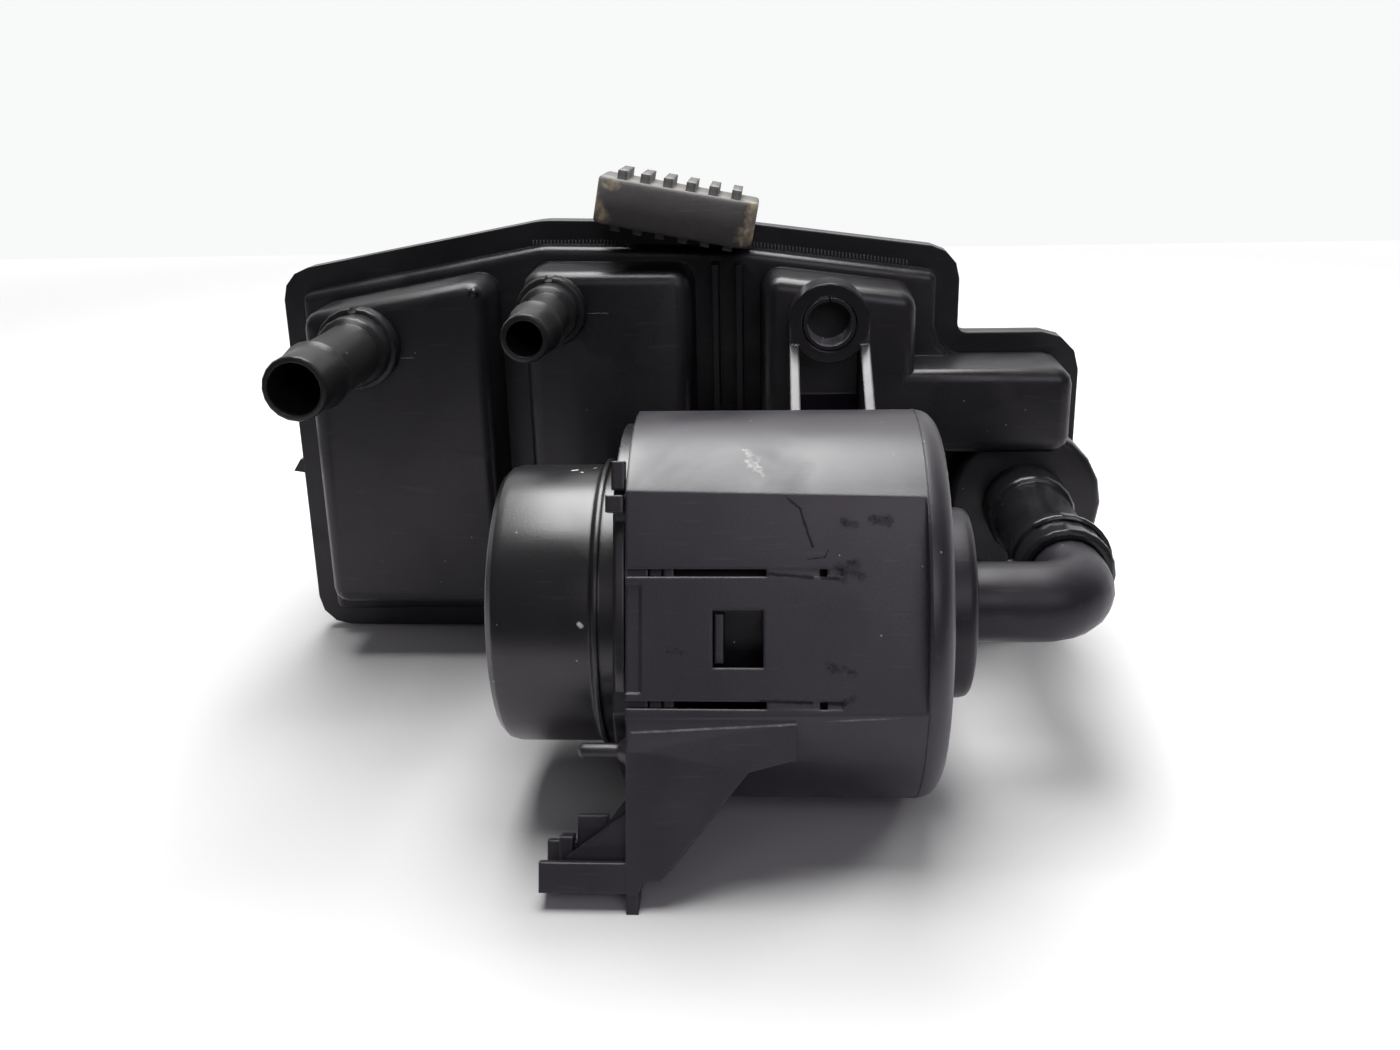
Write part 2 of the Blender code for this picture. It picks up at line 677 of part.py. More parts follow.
def chamber_corners(y, side, margin):
    """The chamber left (-1) or right (1) of the partition at depth y, margin inside the walls."""
    corners, inset = shell_ring(y, WALL + margin)
    edges = offset_corners(corners, inset)
    wall = PARTITION_THICKNESS / 2 + margin
    if side < 0:
        x = CHANNEL_B_X - wall
        top = line_height(edges[5], edges[6], x)
        picked = [edges[0], (x, edges[0][1]), (x, top), edges[6], edges[7]]
    else:
        x = CHANNEL_B_X + wall
        top = line_height(edges[4], edges[5], x)
        picked = [(x, edges[0][1]), edges[1], edges[2], edges[3], edges[4], (x, top)]
    radii = {2: STEP_CORNER_R / 2, 3: NOTCH_R + WALL} if side > 0 else {}
    return [(p[0], p[1], radii.get(i, FLANGE_CORNER_R / 4)) for i, p in enumerate(picked)]


def offset_corners(corners, inset):
    moved = []
    count = len(corners)
    for i in range(count):
        before, here, after = (Vector(corners[(i + k) % count][:2]) for k in (-1, 0, 1))
        way_in = (here - before).normalized()
        way_out = (after - here).normalized()
        left_in = Vector((-way_in.y, way_in.x))
        left_out = Vector((-way_out.y, way_out.x))
        corner = here + (left_in + left_out) * inset / (1 + left_in.dot(left_out))
        moved.append((corner.x, corner.y))
    return moved


def line_height(a, b, x):
    return a[1] + (b[1] - a[1]) * (x - a[0]) / (b[0] - a[0])


def chamber_solid(side, y0, y1, margin):
    return plate_loft([(y, chamber_corners(y, side, margin), 0.0) for y in (y0, y1)])


def make_shell(material):
    front = SEAT_GAP
    flange = flange_corners()
    rings = [(front, flange, 0.0), (front + FLANGE_THICKNESS, flange, 0.0)]
    y = front + FLANGE_THICKNESS
    corners, inset = shell_ring(y, 0.0)
    rings.append((y, corners, inset))
    straight = SHELL_DEPTH - SHELL_REAR_R
    for k in range(REAR_STEPS + 1):
        angle = math.pi / 2 * k / REAR_STEPS
        y = straight + SHELL_REAR_R * math.sin(angle)
        corners, inset = shell_ring(straight, SHELL_REAR_R * (1 - math.cos(angle)))
        rings.append((y, corners, inset))
    shell = new_object("canister_shell", plate_loft(rings), material)
    add(shell, *shell_ribs(), *shell_rails())
    end = SHELL_DEPTH - WALL
    for side, name in ((-1, "main_chamber"), (1, "vent_chamber")):
        cut(shell, new_object(name, chamber_solid(side, -OVERCUT, end, 0.0)))
    low = offset_corners(*shell_ring(end, 2 * WALL))[0][1]
    reach = PARTITION_THICKNESS
    high = top_edge(CHANNEL_B_X, SHELL_INSET_REAR + 3 * WALL)
    cut(shell, block("rear_passage", (CHANNEL_B_X - reach, CHANNEL_B_X + reach),
                     (end - PASSAGE_LENGTH, end), (low, high)))
    return shell


def shell_ribs():
    """Low stiffening hoops round the shell's outside."""
    ribs = []
    count = int((SHELL_DEPTH - SHELL_RIB_PITCH / 2) // SHELL_RIB_PITCH)
    for k in range(1, count + 1):
        y = k * SHELL_RIB_PITCH
        rings = []
        for yy in (y - SHELL_RIB_THICKNESS / 2, y + SHELL_RIB_THICKNESS / 2):
            corners, inset = shell_ring(y, -SHELL_RIB_HEIGHT)
            rings.append((yy, corners, inset))
        ribs.append(new_object("shell_rib", plate_loft(rings)))
    return ribs


def shell_rails():
    """Two rails under the shell, level with the flange, that it stands on."""
    rails = []
    for way in (-1, 1):
        x = way * RAIL_SPACING / 2
        rails.append(block("shell_rail", (x - RAIL_THICKNESS / 2, x + RAIL_THICKNESS / 2),
                           (SEAT_GAP + FLANGE_THICKNESS / 2, SHELL_DEPTH - RAIL_END_MARGIN),
                           (0.0, FLANGE_BOTTOM + SHELL_INSET_FRONT + WALL / 2)))
    return rails


# Charcoal, foam, plates and springs

def layer_starts():
    foam_front = SEAT_GAP
    bed = foam_front + FOAM_THICKNESS + SEAT_GAP
    foam_rear = bed + BED_LENGTH + SEAT_GAP
    plate = foam_rear + FOAM_THICKNESS + SEAT_GAP
    return foam_front, bed, foam_rear, plate


def make_bed_layers(prefix, side, charcoal, foam, plastic):
    foam_front, bed, foam_rear, plate = layer_starts()
    for name, y0, depth, material in (
        (prefix + "_front_foam", foam_front, FOAM_THICKNESS, foam),
        (prefix + "_charcoal_bed", bed, BED_LENGTH, charcoal),
        (prefix + "_rear_foam", foam_rear, FOAM_THICKNESS, foam),
        (prefix + "_pressure_plate", plate, PLATE_THICKNESS, plastic),
    ):
        piece = new_object(name, chamber_solid(side, y0, y0 + depth, BED_GAP), material)
        if name.endswith("plate"):
            cut(piece, plate_holes(side, y0))


def plate_holes(side, y0):
    """Rows of round holes over the plate, as one cutter of separate pins."""
    corners = chamber_corners(y0, side, BED_GAP)
    x_low = min(c[0] for c in corners) + PLATE_EDGE_MARGIN
    x_high = max(c[0] for c in corners) - PLATE_EDGE_MARGIN
    z_low = min(c[1] for c in corners) + PLATE_EDGE_MARGIN
    z_high = (corners[2][1] if side > 0 else corners[-1][1]) - PLATE_EDGE_MARGIN
    columns = int((x_high - x_low) // PLATE_HOLE_PITCH) + 1
    rows = int((z_high - z_low) // PLATE_HOLE_PITCH) + 1
    bm = bmesh.new()
    for i in range(columns):
        for k in range(rows):
            x = (x_low + x_high) / 2 + (i - (columns - 1) / 2) * PLATE_HOLE_PITCH
            z = (z_low + z_high) / 2 + (k - (rows - 1) / 2) * PLATE_HOLE_PITCH
            centre = Matrix.Translation((x, y0 + PLATE_THICKNESS / 2, z)) @ TO_FRONT
            bmesh.ops.create_cone(bm, cap_ends=True, segments=6, radius1=PLATE_HOLE_R, radius2=PLATE_HOLE_R,
                                  depth=2 * PLATE_THICKNESS, matrix=centre)
    return new_object("plate_holes", bm)


def spring_x(side, share):
    """A spring's place across its chamber, as a share of the chamber's width at the rear."""
    corners = chamber_corners(SHELL_DEPTH - WALL, side, BED_GAP)
    left = min(c[0] for c in corners)
    right = max(c[0] for c in corners)
    return left + (right - left) * share


def make_spring(name, x, material):
    """A compression spring with closed end turns, between a pressure plate and the shell's rear wall."""
    start = layer_starts()[3] + PLATE_THICKNESS + SEAT_GAP + SPRING_WIRE_R
    end = SHELL_DEPTH - WALL - SEAT_GAP - SPRING_WIRE_R
    curve = bpy.data.curves.new(name, "CURVE")
    curve.dimensions = "3D"
    curve.bevel_depth = SPRING_WIRE_R
    curve.bevel_resolution = WIRE_ROUNDNESS
    curve.use_fill_caps = True
    spline = curve.splines.new("POLY")
    total = SPRING_TURNS * SPRING_STEPS
    closed = SPRING_STEPS
    spline.points.add(total)
    for k in range(total + 1):
        angle = 2 * math.pi * k / SPRING_STEPS
        flat = 2 * SPRING_WIRE_R + SEAT_GAP
        if k <= closed:
            y = start + flat * k / closed
        elif k >= total - closed:
            y = end - flat * (total - k) / closed
        else:
            share = (k - closed) / (total - 2 * closed)
            y = start + flat + (end - start - 2 * flat) * share
        z = SPRING_Z + SPRING_R * math.sin(angle)
        spline.points[k].co = (x + SPRING_R * math.cos(angle), y, z, 1.0)
    curve.materials.append(material)
    item = bpy.data.objects.new(name, curve)
    bpy.context.scene.collection.objects.link(item)


# Hose ports on the cover

def port_profile(radius, bore, length, collar):
    """Loop of (radius, height) from the pocket's face: spigot, collar, shoulder, tube and hose bead."""
    shoulder = (radius + collar) / 2
    top = PORT_COLLAR_HEIGHT + PORT_SHOULDER_HEIGHT
    round_r = PORT_BEAD
    return [
        (bore, -SPIGOT_LENGTH), (radius, -SPIGOT_LENGTH), (radius, SEAT_GAP), (collar, SEAT_GAP),
        *quarter(collar - round_r, PORT_COLLAR_HEIGHT - round_r, round_r, 0, 90, 2),
        (shoulder, PORT_COLLAR_HEIGHT),
        *quarter(shoulder - round_r, top - round_r, round_r, 0, PORT_SHOULDER_TURN, 2),
        (radius, top + round_r),
        (radius, length - PORT_GRIP),
        *quarter(radius - PORT_BEAD, length - PORT_GRIP + 3 * PORT_BEAD, 2 * PORT_BEAD, -45, 45, 2),
        (radius - PORT_BEAD / 4, length - PORT_GRIP + 7 * PORT_BEAD),
        *quarter(radius - PORT_BEAD, length - PORT_BEAD, PORT_BEAD, 0, 90, 2),
        (bore, length),
    ]


def make_port(name, x, z, radius, bore, length, collar, material):
    bm = lathe(port_profile(radius, bore, length, collar))
    port = new_object(name, placed(bm, facing_front(x, -POCKET_HEIGHT, z)), material)
    half = COLLAR_NOTCH_WIDTH / 2
    cut(port, block("collar_notch", (x - half, x + half),
                    (-POCKET_HEIGHT - PORT_COLLAR_HEIGHT - PORT_BEAD, -POCKET_HEIGHT + OVERCUT),
                    (z + collar - COLLAR_NOTCH_DEPTH, z + collar + OVERCUT)))
    return port


# Rubber pad

def make_pad(material):
    half = PAD_WIDTH / 2
    front = pad_front()
    back = -FLANGE_THICKNESS - SEAT_GAP
    outline = [(-half, back), (half, back), (half, front + PAD_CHAMFER), (half - PAD_CHAMFER, front),
               (PAD_CHAMFER - half, front), (-half, front + PAD_CHAMFER)]
    heights = (-PAD_HEIGHT / 2, PAD_HEIGHT / 2)
    bm = loft([[Vector((x, y, z)) for x, y in outline[::-1]] for z in heights])
    pad = new_object("mount_pad", placed(bm, tongue_frame()), material)
    bevel = pad.modifiers.new("soft_edges", "BEVEL")
    bevel.width = PAD_RIB_WIDTH / 3
    bevel.segments = 2
    for k in range(PAD_RIBS):
        x = (k - (PAD_RIBS - 1) / 2) * PAD_RIB_PITCH
        for z, height in ((PAD_HEIGHT / 2, PAD_RIB_HEIGHT), (-PAD_HEIGHT / 2, -PAD_FOOT_HEIGHT)):
            size = (PAD_RIB_WIDTH, PAD_DEPTH - PAD_CHAMFER, abs(height) + MM)
            middle = z + height / 2 - math.copysign(MM / 2, height)
            rib = box(size, (x, (front + back + PAD_CHAMFER / 2) / 2, middle))
            add(pad, new_object("pad_rib", placed(rib, tongue_frame())))
    slot_front = front + TONGUE_TIP_MARGIN - SEAT_GAP
    size = (TONGUE_WIDTH + 2 * SEAT_GAP, back + OVERCUT - slot_front, TONGUE_THICKNESS + 2 * SEAT_GAP)
    slot = box(size, (0, (back + OVERCUT + slot_front) / 2, 0))
    cut(pad, new_object("pad_slot", placed(slot, tongue_frame())))
    return pad


# Filter housing

def drum_inner_r():
    return DRUM_R - DRUM_WALL


def flat_cutter(name, depth_shift, end, rolled):
    """A wedge that takes off everything outside the latch flat; depth_shift moves it inwards."""
    slope = (FLAT_RIGHT - FLAT_LEFT) / FLAT_LENGTH
    line = [(x, FLAT_LEFT + slope * x - depth_shift) for x in (-OVERCUT, end)]
    far = [(end, DRUM_R + OVERCUT), (-OVERCUT, DRUM_R + OVERCUT)]
    rises = [FLAT_ROLL_SPAN * k / FLAT_ROLL_STEPS for k in range(FLAT_ROLL_STEPS + 1)]
    heights = [-DRUM_R, *(FLAT_ROLL_START + rise for rise in rises), DRUM_R]
    rings = []
    for up in heights:
        rise = max(up - FLAT_ROLL_START, 0.0) if rolled else 0.0
        fall = rise ** 2 / (2 * FLAT_ROLL_R)
        edge = [(x, out - fall) for x, out in line]
        rings.append([Vector((x, out, up)) for x, out in [*edge, *far]])
    return new_object(name, placed(loft(rings), flat_frame()))


def drum_cavity():
    """The space inside the drum: its bore, with a flat side behind the latch flat."""
    r = drum_inner_r()
    end = DRUM_LENGTH - DRUM_WALL
    fillet = DRUM_FILLET - DRUM_WALL
    corner = quarter(r - fillet, end - fillet, fillet, 0, 90)
    profile = [(0, -OVERCUT), (r, -OVERCUT), *corner, (0, end)]
    cavity = new_object("drum_cavity", placed(lathe(profile, DRUM_STEPS), along_drum(DRUM_X0)))
    cut(cavity, flat_cutter("flat_inside", DRUM_WALL, DRUM_LENGTH, False))
    return cavity


def make_cup(material):
    fillet = quarter(DRUM_R - DRUM_FILLET, DRUM_LENGTH - DRUM_FILLET, DRUM_FILLET, 0, 90, FILLET_STEPS)
    profile = [(0, 0), (DRUM_R, 0), *fillet, (0, DRUM_LENGTH)]
    cup = new_object("filter_cup", placed(lathe(profile, DRUM_STEPS), along_drum(DRUM_X0)), material)
    cut(cup, flat_cutter("flat_outside", 0.0, FLAT_LENGTH, True))
    add(cup, gusset(), *foot_pieces(), peg(), *ear_pieces())
    cut(cup, drum_cavity())
    pipe_hole = pin(PIPE_R + SEAT_GAP, 0.0, 2 * DRUM_FILLET)
    ear_hole = pin(SLEEVE_R + SEAT_GAP, -OVERCUT, EAR_THICKNESS + OVERCUT)
    cutters = [
        *latch_cutters(),
        new_object("pipe_hole", placed(pipe_hole, along_drum(DRUM_X0 + DRUM_LENGTH - DRUM_FILLET))),
        new_object("sleeve_hole", placed(ear_hole, facing_front(EAR_X, ear_back(), EAR_Z))),
        block("floor_level", (DRUM_X0 - 2 * FOOT_WIDTH, DRUM_X0 + GUSSET_HEEL),
              (AXIS_Y - 2 * DRUM_R, AXIS_Y), (-DRUM_R, 0.0)),
    ]
    cut(cup, *cutters)
    return cup


def pin(radius, low, high):
    """A plain round cutter along Z."""
    return lathe([(0, low), (radius, low), (radius, high), (0, high)])


def gusset():
    """The plate that carries the latch flat down to the foot."""
    edge = STAGGER
    outline = [
        (edge, -FLAT_LEFT / 3),
        (edge, -FOOT_BAR_BOTTOM),
        (LUG_WIDTH, -FOOT_BAR_BOTTOM),
        (LUG_WIDTH + GUSSET_THICKNESS / 2, -GUSSET_DROP),
        (GUSSET_TOE - LUG_WIDTH, -GUSSET_DROP),
        (GUSSET_TOE, -GUSSET_DROP + LUG_WIDTH),
        (GUSSET_HEEL - GUSSET_TOE, -GUSSET_HEEL_DROP - LUG_WIDTH),
        (GUSSET_HEEL, -GUSSET_HEEL_DROP),
        (GUSSET_HEEL, -FLAT_LEFT / 3),
    ]
    outer = FLAT_LEFT - STAGGER
    return flat_prism("gusset", outline, (outer - GUSSET_THICKNESS, outer))


def foot_pieces():
    """The slide-in foot at the gusset's lower left: a channel, a key behind it, two ribs and a lug."""
    front = FLAT_LEFT - 2 * STAGGER
    back = FLAT_LEFT - FOOT_DEPTH
    low = -FOOT_BAR_BOTTOM
    channel = [(front, low), (front, -FOOT_BAR_TOP), (front - FOOT_WALL, -FOOT_BAR_TOP),
               (front - FOOT_WALL, low + FOOT_WALL), (back + FOOT_WALL, low + FOOT_WALL),
               (back + FOOT_WALL, FOOT_WALL - FOOT_BAR_TOP), (back, FOOT_WALL - FOOT_BAR_TOP), (back, low)]
    rings = [[Vector((x, out, up)) for out, up in channel] for x in (-FOOT_WIDTH, LUG_WIDTH - STAGGER)]
    pieces = [new_object("foot_channel", placed(loft(rings), flat_frame()))]
    pieces.append(flat_block("foot_key", FOOT_KEY_SPAN, (back + STAGGER, back + FOOT_WALL + STAGGER),
                             (low + STAGGER, FOOT_KEY_HEIGHT - FOOT_BAR_TOP)))
    pieces.append(flat_block("foot_stop", FOOT_STOP_SPAN, (back + 2 * STAGGER, back + 2 * FOOT_WALL),
                             (low + 3 * STAGGER, FOOT_STOP_HEIGHT - FOOT_BAR_TOP)))
    pieces.append(flat_block("foot_lug", (2 * STAGGER, LUG_WIDTH + STAGGER),
                             (FLAT_LEFT - 2 * GUSSET_THICKNESS, FLAT_LEFT - 3 * STAGGER),
                             (-LUG_REACH, -FOOT_BAR_TOP)))
    depths = (front - 3 * FOOT_RIB_THICKNESS, back + 3 * FOOT_RIB_THICKNESS)
    for depth, tip, top in zip(depths, FOOT_RIB_TIPS, FOOT_RIB_TOPS):
        outline = [(-tip, low + 2 * STAGGER), (LUG_WIDTH - 2 * STAGGER, low + 2 * STAGGER),
                   (GUSSET_TOE, GUSSET_THICKNESS - GUSSET_DROP), (2 * GUSSET_TOE, -GUSSET_HEEL_DROP),
                   (3 * STAGGER, -GUSSET_HEEL_DROP), (3 * STAGGER, -top), (-tip, STAGGER - FOOT_BAR_TOP)]
        pieces.append(flat_prism("foot_rib", outline, (depth - FOOT_RIB_THICKNESS, depth)))
    return pieces


def peg():
    """A locating peg that sticks out of the drum's open edge, to the left."""
    tip = PEG_TIP_R
    nub = quarter(PEG_R - tip, PEG_LENGTH - tip, tip, 0, 90)
    profile = [
        (0, -PEG_ROOT_LENGTH), (PEG_ROOT_R, -PEG_ROOT_LENGTH), (PEG_ROOT_R, PEG_ROOT_LENGTH / 2),
        (PEG_R, PEG_ROOT_LENGTH), *nub, (0, PEG_LENGTH),
    ]
    turn = Matrix.Rotation(math.radians(-90), 4, "Y")
    spot = Matrix.Translation((PEG_ROOT_LENGTH / 2, FLAT_LEFT - PEG_ROOT_R, -PEG_DROP))
    return new_object("peg", placed(lathe(profile, PEG_STEPS), flat_frame() @ spot @ turn))


def ear_back():
    return -POCKET_HEIGHT - SEAT_GAP


def ear_pieces():
    """The bolt ear: a round boss, and two side webs joined by a back wall that run down to the drum."""
    back = ear_back()
    front = back - EAR_THICKNESS
    boss = new_object("ear_boss", placed(pin(EAR_R, 0, EAR_THICKNESS), facing_front(EAR_X, back, EAR_Z)))
    top = (AXIS_Y + EAR_WEB_LANDING_TOP[0] * DRUM_R, AXIS_Z + EAR_WEB_LANDING_TOP[1] * DRUM_R)
    low = (AXIS_Y + EAR_WEB_LANDING_LOW[0] * DRUM_R, AXIS_Z + EAR_WEB_LANDING_LOW[1] * DRUM_R)
    heel = EAR_Z - EAR_WEB_HEEL
    side = [(back - STAGGER, EAR_Z), (front + STAGGER, EAR_Z), (front + STAGGER, EAR_Z - EAR_R / 2),
            top, low, (back - STAGGER, heel)]
    wall = [(back - 2 * STAGGER, EAR_Z), (back - EAR_WEB, EAR_Z), (back - EAR_WEB, heel + EAR_WEB),
            (low[0], low[1] + EAR_WEB), (low[0], low[1] + STAGGER), (back - 2 * STAGGER, heel + STAGGER)]
    half = EAR_R - EAR_WEB / 2
    pieces = [boss, cross_plate("ear_back_wall", wall, EAR_X - half, EAR_X + half)]
    outer = EAR_R - STAGGER
    for way in (-1, 1):
        x = EAR_X + way * outer
        pieces.append(cross_plate("ear_side_web", side, x, x - way * EAR_WEB))
    return pieces


def cross_plate(name, outline, x0, x1):
    """A plate across X, from an outline of (y, z) points."""
    return new_object(name, loft([[Vector((x, y, z)) for y, z in outline] for x in (x0, x1)]))


def latch_cutters():
    """Slits, shallow grooves and window of the snap finger in the latch flat."""
    inner = FLAT_LEFT - DRUM_WALL - OVERCUT
    outer = DRUM_R + OVERCUT
    cutters = []
    for side in (-1, 1):
        up = FINGER_CENTRE + side * (FINGER_WIDTH + SLIT_WIDTH) / 2
        span = (up - SLIT_WIDTH / 2, up + SLIT_WIDTH / 2)
        cutters.append(flat_block("finger_slit", (-OVERCUT, SLIT_LENGTH), (inner, outer), span))
        cutters.append(flat_block("finger_groove", (SLIT_LENGTH - SLIT_WIDTH, GROOVE_LENGTH),
                                  (GROOVE_FLOOR, outer), span))
        pit = GROOVE_LENGTH - GROOVE_PIT_INSET
        cutters.append(flat_block("groove_pit", (pit - SLIT_WIDTH, pit), (inner, outer), span))
    tip = (FINGER_WIDTH - 2 * SLIT_WIDTH) / 2
    cutters.append(flat_block("lead_in", (-OVERCUT, LEAD_IN_LENGTH), (FLAT_LEFT - LEAD_IN_DEPTH, outer),
                              (FINGER_CENTRE - tip, FINGER_CENTRE + tip)))
    cutters.append(flat_block("latch_window", (WINDOW_X0, WINDOW_X0 + WINDOW_WIDTH), (inner, outer),
                              (FINGER_CENTRE - WINDOW_HEIGHT / 2, FINGER_CENTRE + WINDOW_HEIGHT / 2)))
    return cutters


def make_sleeve(material):
    """A rolled steel sleeve with its open seam at the top."""
    back = ear_back()
    length = EAR_THICKNESS + SLEEVE_PROUD
    inner = SLEEVE_R - SLEEVE_WALL
    bm = lathe([(inner, 0), (SLEEVE_R, 0), (SLEEVE_R, length), (inner, length)])
    sleeve = new_object("bolt_sleeve", placed(bm, facing_front(EAR_X, back, EAR_Z)), material)
    half = SLEEVE_SLOT / 2
    cut(sleeve, block("sleeve_seam", (EAR_X - half, EAR_X + half), (back - 2 * length, back + OVERCUT),
                      (EAR_Z, EAR_Z + 2 * SLEEVE_R)))


# Filter cap, seal and element

def plug_r():
    return drum_inner_r() - PLUG_GAP


def d_outline(radius, flat):
    """A circle with its outer side cut off at the flat, as (out, up) points."""
    half = math.acos(flat / radius)
    points = []
    for k in range(DRUM_STEPS + 1):
        angle = half + (2 * math.pi - 2 * half) * k / DRUM_STEPS
        points.append((radius * math.cos(angle), radius * math.sin(angle)))
    return points


def d_band(name, outer, inner, x0, x1, material=None):
    """A band round the drum's axis, between two D-shaped outlines given as (radius, flat)."""
    loops = [[Vector((x, out, up)) for out, up in d_outline(*shape)]
             for x, shape in ((x0, outer), (x1, outer), (x1, inner), (x0, inner))]
    bm = bmesh.new()
    rings = [[bm.verts.new(p) for p in loop] for loop in loops]
    count = len(rings[0])
    for near, far in zip(rings, rings[1:] + rings[:1]):
        for i in range(count):
            j = (i + 1) % count
            bm.faces.new((near[i], near[j], far[j], far[i]))
    return new_object(name, placed(bm, flat_frame()), material)


def seal_shapes():
    """Outer and inner D shapes of the plug's seal groove."""
    flat = FLAT_LEFT - DRUM_WALL - PLUG_GAP
    outer = (plug_r() + SEAL_PROUD, flat + SEAL_PROUD)
    inner = (plug_r() - SEAL_DEPTH, flat - SEAL_DEPTH)
    return outer, inner


def make_cap(material):
    """A drum that closes the housing's open end: neck bead, flange, D-shaped plug, skirt and latch bar."""
    start = -CAP_NECK - CAP_LENGTH
    inner = CAP_R - DRUM_WALL
    fillet_in = CAP_FILLET - DRUM_WALL
    profile = [
        (0, start), *quarter(CAP_R - CAP_FILLET, start + CAP_FILLET, CAP_FILLET, -90, 0),
        (CAP_R, -CAP_NECK - CAP_BEAD_WIDTH), (CAP_BEAD_R, -CAP_NECK - CAP_BEAD_WIDTH / 2),
        (CAP_BEAD_R, -CAP_NECK), (CAP_R, -CAP_NECK), (CAP_R, SEAL_X), (inner, SEAL_X),
        *quarter(inner - fillet_in, start + DRUM_WALL + fillet_in, fillet_in, 0, -90, 2),
        (0, start + DRUM_WALL),
    ]
    cap = new_object("filter_cap", placed(lathe(profile, DRUM_STEPS), along_drum(DRUM_X0)), material)
    flat = FLAT_LEFT - DRUM_WALL - PLUG_GAP
    bore = CAP_R - DRUM_WALL / 2
    plug_end = SEAL_X + SEAL_WIDTH + DRUM_WALL
    add(cap, d_band("plug", (plug_r(), flat), (bore, bore - STAGGER), -SEAT_GAP - DRUM_WALL, plug_end))
    rim_flat = FLAT_LEFT - CAP_FLANGE_SUNK
    rim_start = -SEAT_GAP - CAP_FLANGE_WIDTH
    rim_outer = (CAP_FLANGE_R, rim_flat)
    add(cap, d_band("cap_flange", rim_outer, (bore, bore - 2 * STAGGER), rim_start, -SEAT_GAP))
    for name, reach, span, out in (
        ("cap_tab", 2 * CAP_TAB_PROUD, CAP_TAB_SPAN, rim_flat + CAP_TAB_PROUD),
        ("cap_ear", CAP_TAB_PROUD, CAP_EAR_SPAN, rim_flat - 2 * CAP_TAB_PROUD),
    ):
        add(cap, flat_block(name, (rim_start - reach, -SEAT_GAP - STAGGER), (bore + WALL / 2, out), span))
    skirt_in = CAP_SKIRT_R - CAP_SKIRT_WALL
    skirt_start = plug_end - DRUM_WALL
    skirt = lathe([(skirt_in, skirt_start), (CAP_SKIRT_R, skirt_start), (CAP_SKIRT_R, CAP_SKIRT_DEPTH),
                   (skirt_in, CAP_SKIRT_DEPTH)], DRUM_STEPS)
    add(cap, new_object("skirt", placed(skirt, along_drum(DRUM_X0))))
    outer, groove = seal_shapes()
    wide = (DRUM_R + OVERCUT, DRUM_R)
    cut(cap, d_band("seal_groove", wide, groove, SEAL_X - SEAT_GAP, SEAL_X + SEAL_WIDTH + SEAT_GAP))
    half = WINDOW_HEIGHT / 2 - SLIT_WIDTH / 2
    bar_x = WINDOW_X0 + SEAT_GAP
    add(cap, flat_block("latch_bar", (bar_x, bar_x + HOOK_THICKNESS),
                        (skirt_in * math.cos(math.pi / ROUND_STEPS), FLAT_LEFT - HOOK_SUNK),
                        (FINGER_CENTRE - half, FINGER_CENTRE + half)))
    for k in range(INLET_COUNT):
        angle = (k - (INLET_COUNT - 1) / 2) * INLET_PITCH
        x0 = DRUM_X0 + start + (CAP_LENGTH - INLET_LENGTH) / 2
        slot = box((INLET_LENGTH, 4 * DRUM_WALL, INLET_WIDTH), (x0 + INLET_LENGTH / 2, CAP_R, 0))
        turn = Matrix.Translation((0, AXIS_Y, AXIS_Z)) @ Matrix.Rotation(angle, 4, "X")
        cut(cap, new_object("inlet_slot", placed(slot, turn)))
    return cap


def make_cap_seal(material):
    outer, inner = seal_shapes()
    seat = (inner[0] + SEAT_GAP, inner[1] + SEAT_GAP)
    return d_band("cap_seal", outer, seat, SEAL_X, SEAL_X + SEAL_WIDTH, material)


def seal_ring(name, radius, wire, matrix, material, sides=SEAL_SIDES):
    """A round-section seal ring about the matrix's Z axis."""
    profile = [(radius + wire * math.cos(a), wire * math.sin(a))
               for a in (2 * math.pi * k / sides for k in range(sides))]
    return new_object(name, placed(lathe(profile), matrix), material)


def element_x():
    """Start of the pleated element, its first end disc seated against the drum's closed end."""
    end = DRUM_X0 + DRUM_LENGTH - DRUM_WALL - SEAT_GAP
    return end - 2 * END_DISC_THICKNESS - 2 * SEAT_GAP - ELEMENT_LENGTH


def make_element(paper, disc_material):
    """Pleated paper between two moulded end discs."""
    outer = []
    inner = []
    for k in range(2 * ELEMENT_PLEATS):
        angle = math.pi * k / ELEMENT_PLEATS
        radius = ELEMENT_OUTER_R if k % 2 else ELEMENT_INNER_R + ELEMENT_PAPER
        outer.append((radius, angle))
        inner.append((radius - ELEMENT_PAPER, angle))
    bm = bmesh.new()
    layers = []
    for x in (0.0, ELEMENT_LENGTH):
        layer = []
        for line in (outer, inner):
            layer.append([bm.verts.new((r * math.cos(a), r * math.sin(a), x)) for r, a in line])
        layers.append(layer)
    count = 2 * ELEMENT_PLEATS
    for i in range(count):
        j = (i + 1) % count
        (out0, in0), (out1, in1) = layers
        for loop in ((out0[i], out0[j], out1[j], out1[i]), (in1[i], in1[j], in0[j], in0[i]),
                     (out1[i], out1[j], in1[j], in1[i]), (in0[i], in0[j], out0[j], out0[i])):
            bm.faces.new(loop)
    x0 = element_x() + END_DISC_THICKNESS + SEAT_GAP
    new_object("filter_element", placed(bm, along_drum(x0)), paper)
    rim = ELEMENT_OUTER_R + ELEMENT_PAPER
    for name, x, hole in (("element_inner_disc", x0 + ELEMENT_LENGTH + SEAT_GAP, END_DISC_HOLE_R),
                          ("element_outer_disc", element_x(), 0.0)):
        profile = [(rim, 0), (rim, END_DISC_THICKNESS), (hole, END_DISC_THICKNESS), (hole, 0)]
        new_object(name, placed(lathe(profile), along_drum(x)), disc_material)


# Vent elbow, port, seals and clip

